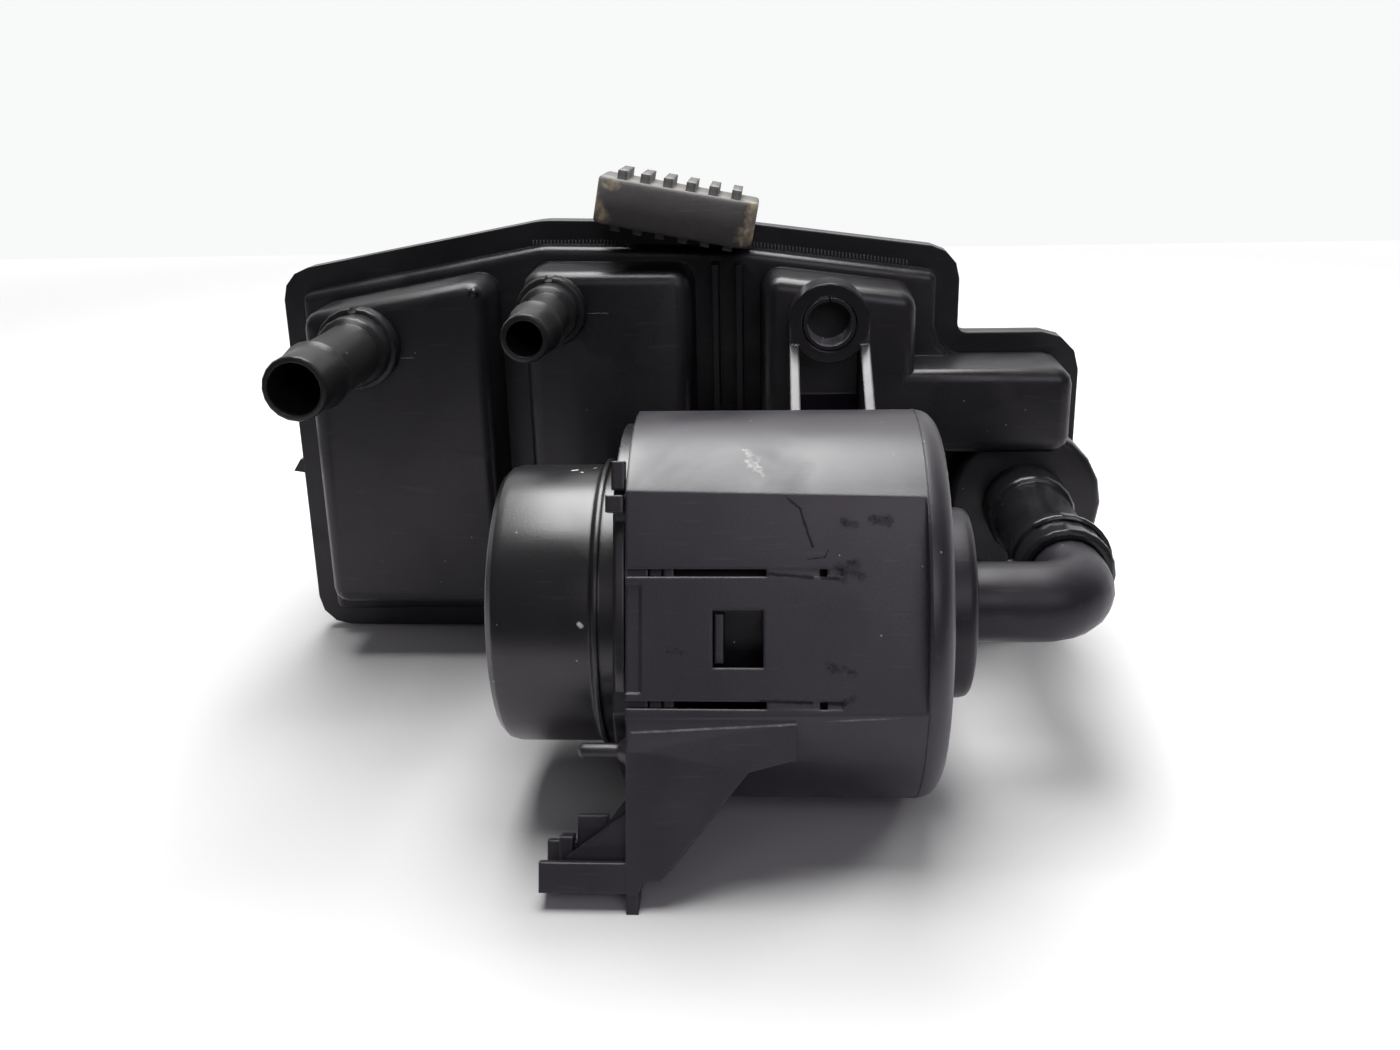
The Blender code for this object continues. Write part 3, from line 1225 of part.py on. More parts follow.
def pipe_path():
    """Centre line of the elbow: along the drum's axis, then back towards the cover."""
    start = Vector((DRUM_X0 + DRUM_LENGTH - DRUM_WALL, AXIS_Y, AXIS_Z))
    bend = Vector((VENT_X - PIPE_BEND_R, AXIS_Y + PIPE_BEND_R, AXIS_Z))
    end = Vector((VENT_X, SOCKET_MOUTH_Y + SOCKET_LAP, AXIS_Z))
    points = [(start, 0.0)]
    for k in range(BEND_STEPS + 1):
        angle = math.pi / 2 * k / BEND_STEPS
        spot = bend + Vector((PIPE_BEND_R * math.sin(angle), -PIPE_BEND_R * math.cos(angle), 0))
        points.append((spot, angle))
    points.append((end, math.pi / 2))
    return points


def tube(path, radius, steps=ROUND_STEPS):
    rings = []
    for spot, angle in path:
        side = Vector((-math.sin(angle), math.cos(angle), 0))
        up = Vector((0, 0, 1))
        ring = []
        for k in range(steps):
            turn = 2 * math.pi * k / steps
            ring.append(spot + (side * math.cos(turn) + up * math.sin(turn)) * radius)
        rings.append(ring)
    return rings


def stretched(path):
    """The path with both ends carried on, for a bore that runs right through."""
    (start, start_angle), (end, end_angle) = path[0], path[-1]
    start = start - Vector((OVERCUT, 0, 0))
    end = end + Vector((0, OVERCUT, 0))
    return [(start, start_angle), *path[1:-1], (end, end_angle)]


def make_elbow(material):
    elbow = new_object("vent_elbow", loft(tube(pipe_path(), PIPE_R)), material)
    x = DRUM_X0 + DRUM_LENGTH + SEAT_GAP
    edge = quarter(BOSS_R - BOSS_FILLET, BOSS_HEIGHT - BOSS_FILLET, BOSS_FILLET, 0, 90)
    profile = [(0, 0), (BOSS_R, 0), *edge, (0, BOSS_HEIGHT)]
    add(elbow, new_object("elbow_boss", placed(lathe(profile, BOSS_STEPS), along_drum(x))))
    cut(elbow, new_object("elbow_bore", loft(tube(stretched(pipe_path()), PIPE_R - PIPE_WALL))))
    half = PIPE_SEAL_WIRE_R + SEAT_GAP / 2
    floor = PIPE_R - PIPE_SEAL_DEPTH
    clear = PIPE_R + OVERCUT / 4
    for y in pipe_seal_ys():
        groove = lathe([(floor, -half), (clear, -half), (clear, half), (floor, half)])
        cut(elbow, new_object("seal_groove", placed(groove, facing_front(VENT_X, y, AXIS_Z))))
    return elbow


def pipe_seal_ys():
    """Places of the two seals on the elbow's tip, inside the socket."""
    tip = SOCKET_MOUTH_Y + SOCKET_LAP
    return (tip - 2 * PIPE_SEAL_PITCH, tip - PIPE_SEAL_PITCH)


def make_pipe_seals(material):
    radius = PIPE_R - PIPE_SEAL_DEPTH + PIPE_SEAL_WIRE_R + SEAT_GAP / 3
    for k, y in enumerate(pipe_seal_ys()):
        spot = facing_front(VENT_X, y, AXIS_Z)
        seal_ring("pipe_seal_%d" % (k + 1), radius, PIPE_SEAL_WIRE_R, spot, material)


def make_vent_port(material):
    """The socket tube on the cover's vent disc; heights run from the disc's face to the mouth."""
    length = -SOCKET_MOUTH_Y - VENT_DISC_HEIGHT
    mouth_bore = PIPE_R + SEAT_GAP
    dome = VENT_SHOULDER_R - VENT_NECK_R
    socket = length - SOCKET_LENGTH
    lip = PORT_BEAD
    low, high = groove_heights()
    profile = [
        (VENT_BORE_R, -SPIGOT_LENGTH), (VENT_NECK_R, -SPIGOT_LENGTH), (VENT_NECK_R, SEAT_GAP),
        (VENT_SHOULDER_R, SEAT_GAP), (VENT_SHOULDER_R, VENT_SHOULDER_LENGTH),
        *quarter(VENT_NECK_R, VENT_SHOULDER_LENGTH, dome, 20, 90, 2),
        (VENT_NECK_R, socket - lip), (SOCKET_R - lip, socket), (SOCKET_R, socket + lip),
        (SOCKET_R, low - lip / 2), (SOCKET_R - lip, low), (SOCKET_R - lip, high),
        (SOCKET_R, high + lip / 2), (SOCKET_R, length - lip), (SOCKET_R - lip, length),
        (mouth_bore, length), (mouth_bore, length - SOCKET_LAP - SEAT_GAP),
        (VENT_BORE_R, length - SOCKET_LAP - SEAT_GAP - dome),
    ]
    bm = lathe(profile)
    return new_object("vent_port", placed(bm, facing_front(VENT_X, -VENT_DISC_HEIGHT, AXIS_Z)), material)


def groove_heights():
    """Both sides of the clip's groove, from the vent disc's face."""
    length = -SOCKET_MOUTH_Y - VENT_DISC_HEIGHT
    half = CLIP_WIRE_R + SEAT_GAP
    return length - CLIP_FROM_MOUTH - half, length - CLIP_FROM_MOUTH + half


def make_clip(material):
    """The wire clip that holds the coupling, sprung into the socket's groove."""
    groove = SOCKET_MOUTH_Y + CLIP_FROM_MOUTH
    radius = SOCKET_R - PORT_BEAD + CLIP_WIRE_R + SEAT_GAP
    curve = bpy.data.curves.new("coupling_clip", "CURVE")
    curve.dimensions = "3D"
    curve.bevel_depth = CLIP_WIRE_R
    curve.bevel_resolution = CLIP_ROUNDNESS
    curve.use_fill_caps = True
    spline = curve.splines.new("POLY")
    spline.points.add(CLIP_STEPS)
    for k in range(CLIP_STEPS + 1):
        angle = CLIP_TURN + CLIP_GAP / 2 + (2 * math.pi - CLIP_GAP) * k / CLIP_STEPS
        x = VENT_X + radius * math.cos(angle)
        spline.points[k].co = (x, groove, AXIS_Z + radius * math.sin(angle), 1.0)
    curve.materials.append(material)
    item = bpy.data.objects.new("coupling_clip", curve)
    bpy.context.scene.collection.objects.link(item)


def move_to_origin():
    """Puts the origin under the middle of the whole object, on the floor."""
    left = FLANGE_LEFT_X - EDGE_HOOK_REACH
    right = max(FLANGE_RIGHT_X, VENT_X + VENT_DISC_R)
    foot_front = FLAT_LEFT - 3 * STAGGER
    front = AXIS_Y - AXIS_Z * math.tan(FLAT_TURN) - foot_front / math.cos(FLAT_TURN)
    base = bpy.data.objects.new("canister", None)
    base.location = (-(left + right) / 2, -(front + SHELL_DEPTH) / 2, 0.0)
    bpy.context.scene.collection.objects.link(base)
    for item in list(bpy.data.objects):
        if item != base:
            item.parent = base


def main():
    clear_scene()
    cover_plastic = finish("cover_black_plastic", (0.018, 0.018, 0.02), 0.5)
    filter_plastic = finish("filter_black_plastic", (0.02, 0.02, 0.022), 0.42)
    rubber = finish("pad_rubber", (0.13, 0.125, 0.12), 0.8)
    seal_rubber = finish("seal_rubber", (0.02, 0.02, 0.02), 0.6)
    steel = finish("sleeve_steel", (0.62, 0.62, 0.63), 0.25, 1.0)
    spring_steel = finish("spring_steel", (0.5, 0.5, 0.52), 0.3, 1.0)
    charcoal = finish("charcoal", (0.01, 0.01, 0.01), 0.95)
    foam = finish("foam", (0.05, 0.05, 0.055), 0.95)
    inner_plastic = finish("inner_plastic", (0.3, 0.3, 0.3), 0.55)
    paper = finish("filter_paper", (0.7, 0.66, 0.5), 0.9)

    make_cover(cover_plastic)
    make_shell(cover_plastic)
    make_bed_layers("main", -1, charcoal, foam, inner_plastic)
    make_bed_layers("vent", 1, charcoal, foam, inner_plastic)
    for k, share in enumerate(MAIN_SPRING_SHARES):
        make_spring("main_spring_%d" % (k + 1), spring_x(-1, share), spring_steel)
    make_spring("vent_spring", spring_x(1, VENT_SPRING_SHARE), spring_steel)
    make_port("tank_port", TANK_PORT_X, TANK_PORT_Z, TANK_PORT_R, TANK_PORT_BORE_R, TANK_PORT_LENGTH,
              TANK_COLLAR_R, filter_plastic)
    make_port("purge_port", PURGE_PORT_X, PURGE_PORT_Z, PURGE_PORT_R, PURGE_PORT_BORE_R, PURGE_PORT_LENGTH,
              PURGE_COLLAR_R, filter_plastic)
    make_pad(rubber)
    make_cup(filter_plastic)
    make_sleeve(steel)
    make_cap(filter_plastic)
    make_cap_seal(seal_rubber)
    make_element(paper, seal_rubber)
    make_elbow(filter_plastic)
    make_pipe_seals(seal_rubber)
    make_vent_port(filter_plastic)
    make_clip(steel)
    move_to_origin()


main()
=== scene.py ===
"""Charcoal canister with its vent filter housing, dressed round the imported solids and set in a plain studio."""

import json
import math

import bmesh
import bpy
from mathutils import Matrix, Vector

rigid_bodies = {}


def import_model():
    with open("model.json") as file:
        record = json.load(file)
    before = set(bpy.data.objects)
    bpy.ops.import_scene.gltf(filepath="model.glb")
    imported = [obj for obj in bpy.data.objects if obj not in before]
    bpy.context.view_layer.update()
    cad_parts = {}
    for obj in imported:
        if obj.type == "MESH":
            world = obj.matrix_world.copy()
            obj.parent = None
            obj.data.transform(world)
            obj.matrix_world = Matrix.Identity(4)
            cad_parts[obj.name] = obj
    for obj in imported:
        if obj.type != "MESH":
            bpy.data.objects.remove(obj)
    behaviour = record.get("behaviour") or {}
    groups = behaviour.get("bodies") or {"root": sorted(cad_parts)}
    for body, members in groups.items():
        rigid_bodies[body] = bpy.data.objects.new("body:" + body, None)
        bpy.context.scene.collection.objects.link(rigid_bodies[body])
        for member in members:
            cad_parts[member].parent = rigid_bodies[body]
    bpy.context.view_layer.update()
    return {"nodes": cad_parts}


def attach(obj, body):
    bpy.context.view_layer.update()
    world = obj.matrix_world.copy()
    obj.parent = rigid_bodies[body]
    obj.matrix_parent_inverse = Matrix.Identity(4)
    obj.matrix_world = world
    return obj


for item in list(bpy.data.objects):
    bpy.data.objects.remove(item, do_unlink=True)
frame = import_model()
nodes = frame["nodes"]
scene = bpy.context.scene
scene.view_settings.view_transform = "Standard"


# Camera: low in front of the filter housing, looking slightly down and to the left.
# The lens and the place come from the photograph's perspective.
camera_place = Vector((0.0259, -0.3477, 0.1554))
camera_yaw = math.radians(-3.37)
camera_pitch = math.radians(18.35)
camera_roll = math.radians(-1.18)
lens_mm = 34.2
ahead = Vector((
    math.sin(camera_yaw) * math.cos(camera_pitch),
    math.cos(camera_yaw) * math.cos(camera_pitch),
    -math.sin(camera_pitch),
))
level = Vector((math.cos(camera_yaw), -math.sin(camera_yaw), 0.0))
drop = ahead.cross(level)
across = level * math.cos(camera_roll) - drop * math.sin(camera_roll)
down = level * math.sin(camera_roll) + drop * math.cos(camera_roll)
camera_data = bpy.data.cameras.new("camera")
camera_data.lens = lens_mm
camera_data.sensor_width = 36.0
camera_data.clip_start = 0.01
camera = bpy.data.objects.new("camera", camera_data)
camera.matrix_world = Matrix.Translation(camera_place) @ Matrix((across, -down, -ahead)).transposed().to_4x4()
scene.collection.objects.link(camera)
scene.camera = camera


# Floor and back wall: a pale matt table with a dark room in front of it, and a pale wall behind.
# The camera sees the table pale all over; what lies in front of its edge is dark in reflections only.
# Far from the object the table fades into plain white.
floor_half = 2.6
floor_pale = (0.43, 0.41, 0.44)
floor_dark = (0.05, 0.05, 0.05)
floor_shown = (0.365, 0.365, 0.365)
fade_start = 0.5
fade_end = 1.1
table_edge_y = -0.25
edge_blur = 0.05
wall_y = 0.98
wall_height = 2.4
wall_colour = (0.94, 0.95, 0.945)
matt_rough = 0.6
matt_gloss = 0.25


def stage_plane(name, corners, colour):
    mesh = bpy.data.meshes.new(name)
    mesh.from_pydata(corners, [], [range(len(corners))])
    plane = bpy.data.objects.new(name, mesh)
    scene.collection.objects.link(plane)
    material = bpy.data.materials.new(name)
    material.use_nodes = True
    shader = material.node_tree.nodes["Principled BSDF"]
    shader.inputs["Base Color"].default_value = (*colour, 1.0)
    shader.inputs["Roughness"].default_value = matt_rough
    shader.inputs["Specular IOR Level"].default_value = matt_gloss
    mesh.materials.append(material)
    return material.node_tree


def shown_rays(tree):
    """1 for rays from the camera, from gloss and through glass, and 0 for the rest."""
    path = tree.nodes.new("ShaderNodeLightPath")
    rays = tree.nodes.new("ShaderNodeMath")
    rays.operation = "MAXIMUM"
    more = tree.nodes.new("ShaderNodeMath")
    more.operation = "MAXIMUM"
    tree.links.new(path.outputs["Is Camera Ray"], rays.inputs[0])
    tree.links.new(path.outputs["Is Glossy Ray"], rays.inputs[1])
    tree.links.new(rays.outputs[0], more.inputs[0])
    tree.links.new(path.outputs["Is Transmission Ray"], more.inputs[1])
    return more.outputs[0]


floor_tree = stage_plane("floor", [
    (-floor_half, -floor_half, 0.0), (floor_half, -floor_half, 0.0),
    (floor_half, wall_y, 0.0), (-floor_half, wall_y, 0.0),
], floor_pale)
floor_place = floor_tree.nodes.new("ShaderNodeNewGeometry")
floor_parts = floor_tree.nodes.new("ShaderNodeSeparateXYZ")
beyond_edge = floor_tree.nodes.new("ShaderNodeMapRange")
beyond_edge.inputs["From Min"].default_value = table_edge_y + edge_blur
beyond_edge.inputs["From Max"].default_value = table_edge_y - edge_blur
camera_path = floor_tree.nodes.new("ShaderNodeLightPath")
floor_shade = floor_tree.nodes.new("ShaderNodeMix")
floor_seen = floor_tree.nodes.new("ShaderNodeMix")
for mix in (floor_shade, floor_seen):
    mix.data_type = "RGBA"
floor_shade.inputs["A"].default_value = (*floor_pale, 1.0)
floor_shade.inputs["B"].default_value = (*floor_dark, 1.0)
floor_seen.inputs["B"].default_value = (*floor_shown, 1.0)
floor_tree.links.new(floor_place.outputs["Position"], floor_parts.inputs[0])
floor_tree.links.new(floor_parts.outputs["Y"], beyond_edge.inputs["Value"])
floor_tree.links.new(beyond_edge.outputs["Result"], floor_shade.inputs["Factor"])
floor_tree.links.new(floor_shade.outputs["Result"], floor_seen.inputs["A"])
floor_tree.links.new(camera_path.outputs["Is Camera Ray"], floor_seen.inputs["Factor"])
floor_tree.links.new(floor_seen.outputs["Result"], floor_tree.nodes["Principled BSDF"].inputs["Base Color"])

far_part = floor_tree.nodes.new("ShaderNodeVectorMath")
far_part.operation = "LENGTH"
far_fade = floor_tree.nodes.new("ShaderNodeMapRange")
far_fade.inputs["From Min"].default_value = fade_start
far_fade.inputs["From Max"].default_value = fade_end
far_seen = floor_tree.nodes.new("ShaderNodeMath")
far_seen.operation = "MULTIPLY"
far_glow = floor_tree.nodes.new("ShaderNodeEmission")
far_mix = floor_tree.nodes.new("ShaderNodeMixShader")
floor_tree.links.new(floor_place.outputs["Position"], far_part.inputs[0])
floor_tree.links.new(far_part.outputs["Value"], far_fade.inputs["Value"])
floor_tree.links.new(far_fade.outputs["Result"], far_seen.inputs[0])
floor_tree.links.new(camera_path.outputs["Is Camera Ray"], far_seen.inputs[1])
floor_tree.links.new(far_seen.outputs[0], far_mix.inputs["Fac"])
floor_tree.links.new(floor_tree.nodes["Principled BSDF"].outputs[0], far_mix.inputs[1])
floor_tree.links.new(far_glow.outputs[0], far_mix.inputs[2])
floor_tree.links.new(far_mix.outputs[0], floor_tree.nodes["Material Output"].inputs["Surface"])

wall_tree = stage_plane("wall", [
    (-floor_half, wall_y, 0.0), (floor_half, wall_y, 0.0),
    (floor_half, wall_y, wall_height), (-floor_half, wall_y, wall_height),
], wall_colour)
glow = wall_tree.nodes.new("ShaderNodeEmission")
glow.inputs["Color"].default_value = (*wall_colour, 1.0)
choose = wall_tree.nodes.new("ShaderNodeMixShader")
wall_tree.links.new(shown_rays(wall_tree), choose.inputs["Fac"])
wall_tree.links.new(wall_tree.nodes["Principled BSDF"].outputs[0], choose.inputs[1])
wall_tree.links.new(glow.outputs[0], choose.inputs[2])
wall_tree.links.new(choose.outputs[0], wall_tree.nodes["Material Output"].inputs["Surface"])


# Lamps: one broad soft light overhead, reaching behind, and one from the front right make the highlights.
# Three more, kept out of reflections, shape the shadows on the table, in a dim room.
room_strength = 0.1
room_shown = 0.95
shadow_aim = (0.0, -0.05, 0.0)
shadow_size = 0.6


def soft_light(name, place, aim, width, depth, watts):
    data = bpy.data.lights.new(name, "AREA")
    data.shape = "RECTANGLE"
    data.size = width
    data.size_y = depth
    data.energy = watts
    lamp = bpy.data.objects.new(name, data)
    lamp.location = place
    lamp.rotation_euler = (Vector(aim) - Vector(place)).to_track_quat("-Z", "Y").to_euler()
    scene.collection.objects.link(lamp)
    return lamp


soft_light("overhead_light", place=(-0.04, 0.15, 1.0), aim=(-0.04, 0.06, 0.0), width=0.62, depth=0.85, watts=24.0)
window = soft_light("window_light", place=(0.6, -1.7, 0.98), aim=(0.0, 0.0, 0.05), width=1.3, depth=0.85, watts=10.0)
window.data.color = (1.0, 0.92, 1.08)
for name, place, watts in (
    ("rear_light", (-0.1, 0.85, 1.05), 18.0),
    ("side_light", (1.1, 0.45, 1.1), 16.5),
    ("fill_light", (-0.2, -1.2, 1.2), 1.5),
):
    soft_light(name, place, shadow_aim, shadow_size, shadow_size, watts).visible_glossy = False
world = bpy.data.worlds.new("studio")
world.use_nodes = True
scene.world = world
room = world.node_tree.nodes["Background"]
room_path = world.node_tree.nodes.new("ShaderNodeLightPath")
room_glow = world.node_tree.nodes.new("ShaderNodeMapRange")
room_glow.inputs["To Min"].default_value = room_strength
room_glow.inputs["To Max"].default_value = room_shown
world.node_tree.links.new(room_path.outputs["Is Camera Ray"], room_glow.inputs["Value"])
world.node_tree.links.new(room_glow.outputs["Result"], room.inputs["Strength"])
room.inputs["Color"].default_value = (1.0, 1.0, 1.0, 1.0)


# Canister cover: the stepped lid with its flange, plinth and raised pockets, injection moulded
# in black glass-filled nylon with a fine matt skin, and hot-plate welded to the shell.
smooth_limit = 34.0
weld_gap = 0.00001


def smooth_faces():
    """A modifier's node tree that welds the solid's triangles and smooths across shallow edges."""
    tree = bpy.data.node_groups.new("smooth_faces", "GeometryNodeTree")
    tree.interface.new_socket(name="Geometry", in_out="INPUT", socket_type="NodeSocketGeometry")
    limit = tree.interface.new_socket(name="Angle", in_out="INPUT", socket_type="NodeSocketFloat")
    limit.default_value = math.radians(smooth_limit)
    tree.interface.new_socket(name="Geometry", in_out="OUTPUT", socket_type="NodeSocketGeometry")
    begin = tree.nodes.new("NodeGroupInput")
    end = tree.nodes.new("NodeGroupOutput")
    bare = tree.nodes.new("GeometryNodeRemoveAttribute")
    bare.inputs["Name"].default_value = "custom_normal"
    weld = tree.nodes.new("GeometryNodeMergeByDistance")
    weld.inputs["Distance"].default_value = weld_gap
    faces = tree.nodes.new("GeometryNodeSetShadeSmooth")
    angle = tree.nodes.new("GeometryNodeInputMeshEdgeAngle")
    steep = tree.nodes.new("ShaderNodeMath")
    steep.operation = "GREATER_THAN"
    tree.links.new(begin.outputs["Angle"], steep.inputs[1])
    edges = tree.nodes.new("GeometryNodeSetShadeSmooth")
    edges.domain = "EDGE"
    edges.inputs["Shade Smooth"].default_value = False
    tree.links.new(begin.outputs[0], bare.inputs[0])
    tree.links.new(bare.outputs[0], weld.inputs[0])
    tree.links.new(weld.outputs[0], faces.inputs[0])
    tree.links.new(faces.outputs[0], edges.inputs[0])
    tree.links.new(angle.outputs[0], steep.inputs[0])
    tree.links.new(steep.outputs[0], edges.inputs["Selection"])
    tree.links.new(edges.outputs[0], end.inputs[0])
    return tree


smoothing = smooth_faces()


def moulded_skin():
    """Shader group: the fine matt skin and the cloudy flow marks of a moulded plastic."""
    tree = bpy.data.node_groups.new("moulded skin", "ShaderNodeTree")
    for name, value in (("Grain scale", 2600.0), ("Cloud scale", 60.0)):
        socket = tree.interface.new_socket(name=name, in_out="INPUT", socket_type="NodeSocketFloat")
        socket.default_value = value
    for name in ("Grain", "Clouds"):
        tree.interface.new_socket(name=name, in_out="OUTPUT", socket_type="NodeSocketFloat")
    begin = tree.nodes.new("NodeGroupInput")
    end = tree.nodes.new("NodeGroupOutput")
    place = tree.nodes.new("ShaderNodeTexCoord")
    grain = tree.nodes.new("ShaderNodeTexNoise")
    grain.inputs["Detail"].default_value = 2.0
    stretch = tree.nodes.new("ShaderNodeMapping")
    stretch.inputs["Scale"].default_value = (1.6, 1.0, 0.55)
    clouds = tree.nodes.new("ShaderNodeTexNoise")
    clouds.inputs["Detail"].default_value = 4.0
    tree.links.new(place.outputs["Object"], grain.inputs["Vector"])
    tree.links.new(place.outputs["Object"], stretch.inputs["Vector"])
    tree.links.new(stretch.outputs["Vector"], clouds.inputs["Vector"])
    tree.links.new(begin.outputs["Grain scale"], grain.inputs["Scale"])
    tree.links.new(begin.outputs["Cloud scale"], clouds.inputs["Scale"])
    tree.links.new(grain.outputs["Fac"], end.inputs["Grain"])
    tree.links.new(clouds.outputs["Fac"], end.inputs["Clouds"])
    return tree


def rounded_edges():
    """Shader group: the small radius that every moulded edge has."""
    tree = bpy.data.node_groups.new("rounded edges", "ShaderNodeTree")
    socket = tree.interface.new_socket(name="Radius", in_out="INPUT", socket_type="NodeSocketFloat")
    socket.default_value = 0.0006
    tree.interface.new_socket(name="Normal", in_out="OUTPUT", socket_type="NodeSocketVector")
    begin = tree.nodes.new("NodeGroupInput")
    end = tree.nodes.new("NodeGroupOutput")
    bevel = tree.nodes.new("ShaderNodeBevel")
    bevel.samples = 6
    tree.links.new(begin.outputs["Radius"], bevel.inputs["Radius"])
    tree.links.new(bevel.outputs["Normal"], end.inputs["Normal"])
    return tree


speck_reach = 0.13
speck_rarity = 0.985
scratch_turn = (0.5, 0.7, 0.3)
scratch_scale = (90.0, 2600.0, 900.0)


def handling_marks():
    """Shader group: sparse dust specks, cloudy smudges and fine straight scratches."""
    tree = bpy.data.node_groups.new("handling marks", "ShaderNodeTree")
    for name, value in (("Speck scale", 620.0), ("Smudge scale", 38.0)):
        socket = tree.interface.new_socket(name=name, in_out="INPUT", socket_type="NodeSocketFloat")
        socket.default_value = value
    for name in ("Specks", "Smudges", "Scratches"):
        tree.interface.new_socket(name=name, in_out="OUTPUT", socket_type="NodeSocketFloat")
    begin = tree.nodes.new("NodeGroupInput")
    end = tree.nodes.new("NodeGroupOutput")
    place = tree.nodes.new("ShaderNodeTexCoord")
    cells = tree.nodes.new("ShaderNodeTexVoronoi")
    small = tree.nodes.new("ShaderNodeMath")
    small.operation = "LESS_THAN"
    small.inputs[1].default_value = speck_reach
    chance = tree.nodes.new("ShaderNodeSeparateColor")
    rare = tree.nodes.new("ShaderNodeMath")
    rare.operation = "GREATER_THAN"
    rare.inputs[1].default_value = speck_rarity
    both = tree.nodes.new("ShaderNodeMath")
    both.operation = "MULTIPLY"
    smudge = tree.nodes.new("ShaderNodeTexNoise")
    smudge.inputs["Detail"].default_value = 5.0
    smudge.inputs["Distortion"].default_value = 0.8
    smudge_range = tree.nodes.new("ShaderNodeMapRange")
    smudge_range.inputs["From Min"].default_value = 0.52
    smudge_range.inputs["From Max"].default_value = 0.72
    stretch = tree.nodes.new("ShaderNodeMapping")
    stretch.inputs["Rotation"].default_value = scratch_turn
    stretch.inputs["Scale"].default_value = scratch_scale
    hair = tree.nodes.new("ShaderNodeTexNoise")
    hair.inputs["Scale"].default_value = 1.0
    hair.inputs["Detail"].default_value = 1.0
    hair_range = tree.nodes.new("ShaderNodeMapRange")
    hair_range.inputs["From Min"].default_value = 0.66
    hair_range.inputs["From Max"].default_value = 0.74
    for node in (cells, smudge, stretch):
        tree.links.new(place.outputs["Object"], node.inputs["Vector"])
    tree.links.new(begin.outputs["Speck scale"], cells.inputs["Scale"])
    tree.links.new(begin.outputs["Smudge scale"], smudge.inputs["Scale"])
    tree.links.new(cells.outputs["Distance"], small.inputs[0])
    tree.links.new(cells.outputs["Color"], chance.inputs[0])
    tree.links.new(chance.outputs[0], rare.inputs[0])
    tree.links.new(small.outputs[0], both.inputs[0])
    tree.links.new(rare.outputs[0], both.inputs[1])
    tree.links.new(smudge.outputs["Fac"], smudge_range.inputs["Value"])
    tree.links.new(stretch.outputs[0], hair.inputs["Vector"])
    tree.links.new(hair.outputs["Fac"], hair_range.inputs["Value"])
    tree.links.new(both.outputs[0], end.inputs["Specks"])
    tree.links.new(smudge_range.outputs[0], end.inputs["Smudges"])
    tree.links.new(hair_range.outputs[0], end.inputs["Scratches"])
    return tree


def single_mark():
    """Shader group: one mark of a given width between two places, with a ragged or broken edge."""
    tree = bpy.data.node_groups.new("single mark", "ShaderNodeTree")
    for name in ("Start", "End"):
        tree.interface.new_socket(name=name, in_out="INPUT", socket_type="NodeSocketVector")
    for name, value in (("Width", 0.001), ("Ragged", 0.001), ("Grain scale", 900.0), ("Broken", 0.5)):
        socket = tree.interface.new_socket(name=name, in_out="INPUT", socket_type="NodeSocketFloat")
        socket.default_value = value
    tree.interface.new_socket(name="Mark", in_out="OUTPUT", socket_type="NodeSocketFloat")
    begin = tree.nodes.new("NodeGroupInput")
    end = tree.nodes.new("NodeGroupOutput")

    def vector(operation, a, b):
        node = tree.nodes.new("ShaderNodeVectorMath")
        node.operation = operation
        for value, socket in ((a, node.inputs[0]), (b, node.inputs[1])):
            if isinstance(value, tuple):
                socket.default_value = value
            else:
                tree.links.new(value, socket)
        return node.outputs["Value" if operation in ("DOT_PRODUCT", "DISTANCE") else "Vector"]

    def number(operation, a, b):
        node = tree.nodes.new("ShaderNodeMath")
        node.operation = operation
        tree.links.new(a, node.inputs[0])
        tree.links.new(b, node.inputs[1])
        return node

    place = tree.nodes.new("ShaderNodeTexCoord")
    grain = tree.nodes.new("ShaderNodeTexNoise")
    grain.inputs["Detail"].default_value = 3.0
    tree.links.new(place.outputs["Object"], grain.inputs["Vector"])
    tree.links.new(begin.outputs["Grain scale"], grain.inputs["Scale"])
    shift = tree.nodes.new("ShaderNodeVectorMath")
    shift.operation = "SCALE"
    tree.links.new(vector("SUBTRACT", grain.outputs["Color"], (0.5, 0.5, 0.5)), shift.inputs[0])
    tree.links.new(begin.outputs["Ragged"], shift.inputs["Scale"])
    spot = vector("ADD", place.outputs["Object"], shift.outputs["Vector"])
    way = vector("SUBTRACT", begin.outputs["End"], begin.outputs["Start"])
    come = vector("SUBTRACT", spot, begin.outputs["Start"])
    along = number("DIVIDE", vector("DOT_PRODUCT", come, way), vector("DOT_PRODUCT", way, way))
    along.use_clamp = True
    foot = tree.nodes.new("ShaderNodeVectorMath")
    foot.operation = "SCALE"
    tree.links.new(way, foot.inputs[0])
    tree.links.new(along.outputs[0], foot.inputs["Scale"])
    off = vector("DISTANCE", come, foot.outputs["Vector"])
    inside = tree.nodes.new("ShaderNodeMapRange")
    inside.inputs["From Min"].default_value = 1.0
    inside.inputs["From Max"].default_value = 0.4
    tree.links.new(number("DIVIDE", off, begin.outputs["Width"]).outputs[0], inside.inputs["Value"])
    patch = tree.nodes.new("ShaderNodeMapRange")
    patch.inputs["From Min"].default_value = 0.4
    patch.inputs["From Max"].default_value = 0.6
    tree.links.new(grain.outputs["Fac"], patch.inputs["Value"])
    blend = tree.nodes.new("ShaderNodeMix")
    blend.inputs["A"].default_value = 1.0
    tree.links.new(begin.outputs["Broken"], blend.inputs["Factor"])
    tree.links.new(patch.outputs[0], blend.inputs["B"])
    tree.links.new(number("MULTIPLY", inside.outputs[0], blend.outputs[0]).outputs[0], end.inputs["Mark"])
    return tree


skin_group = moulded_skin()
edge_group = rounded_edges()
handling_group = handling_marks()
mark_group = single_mark()


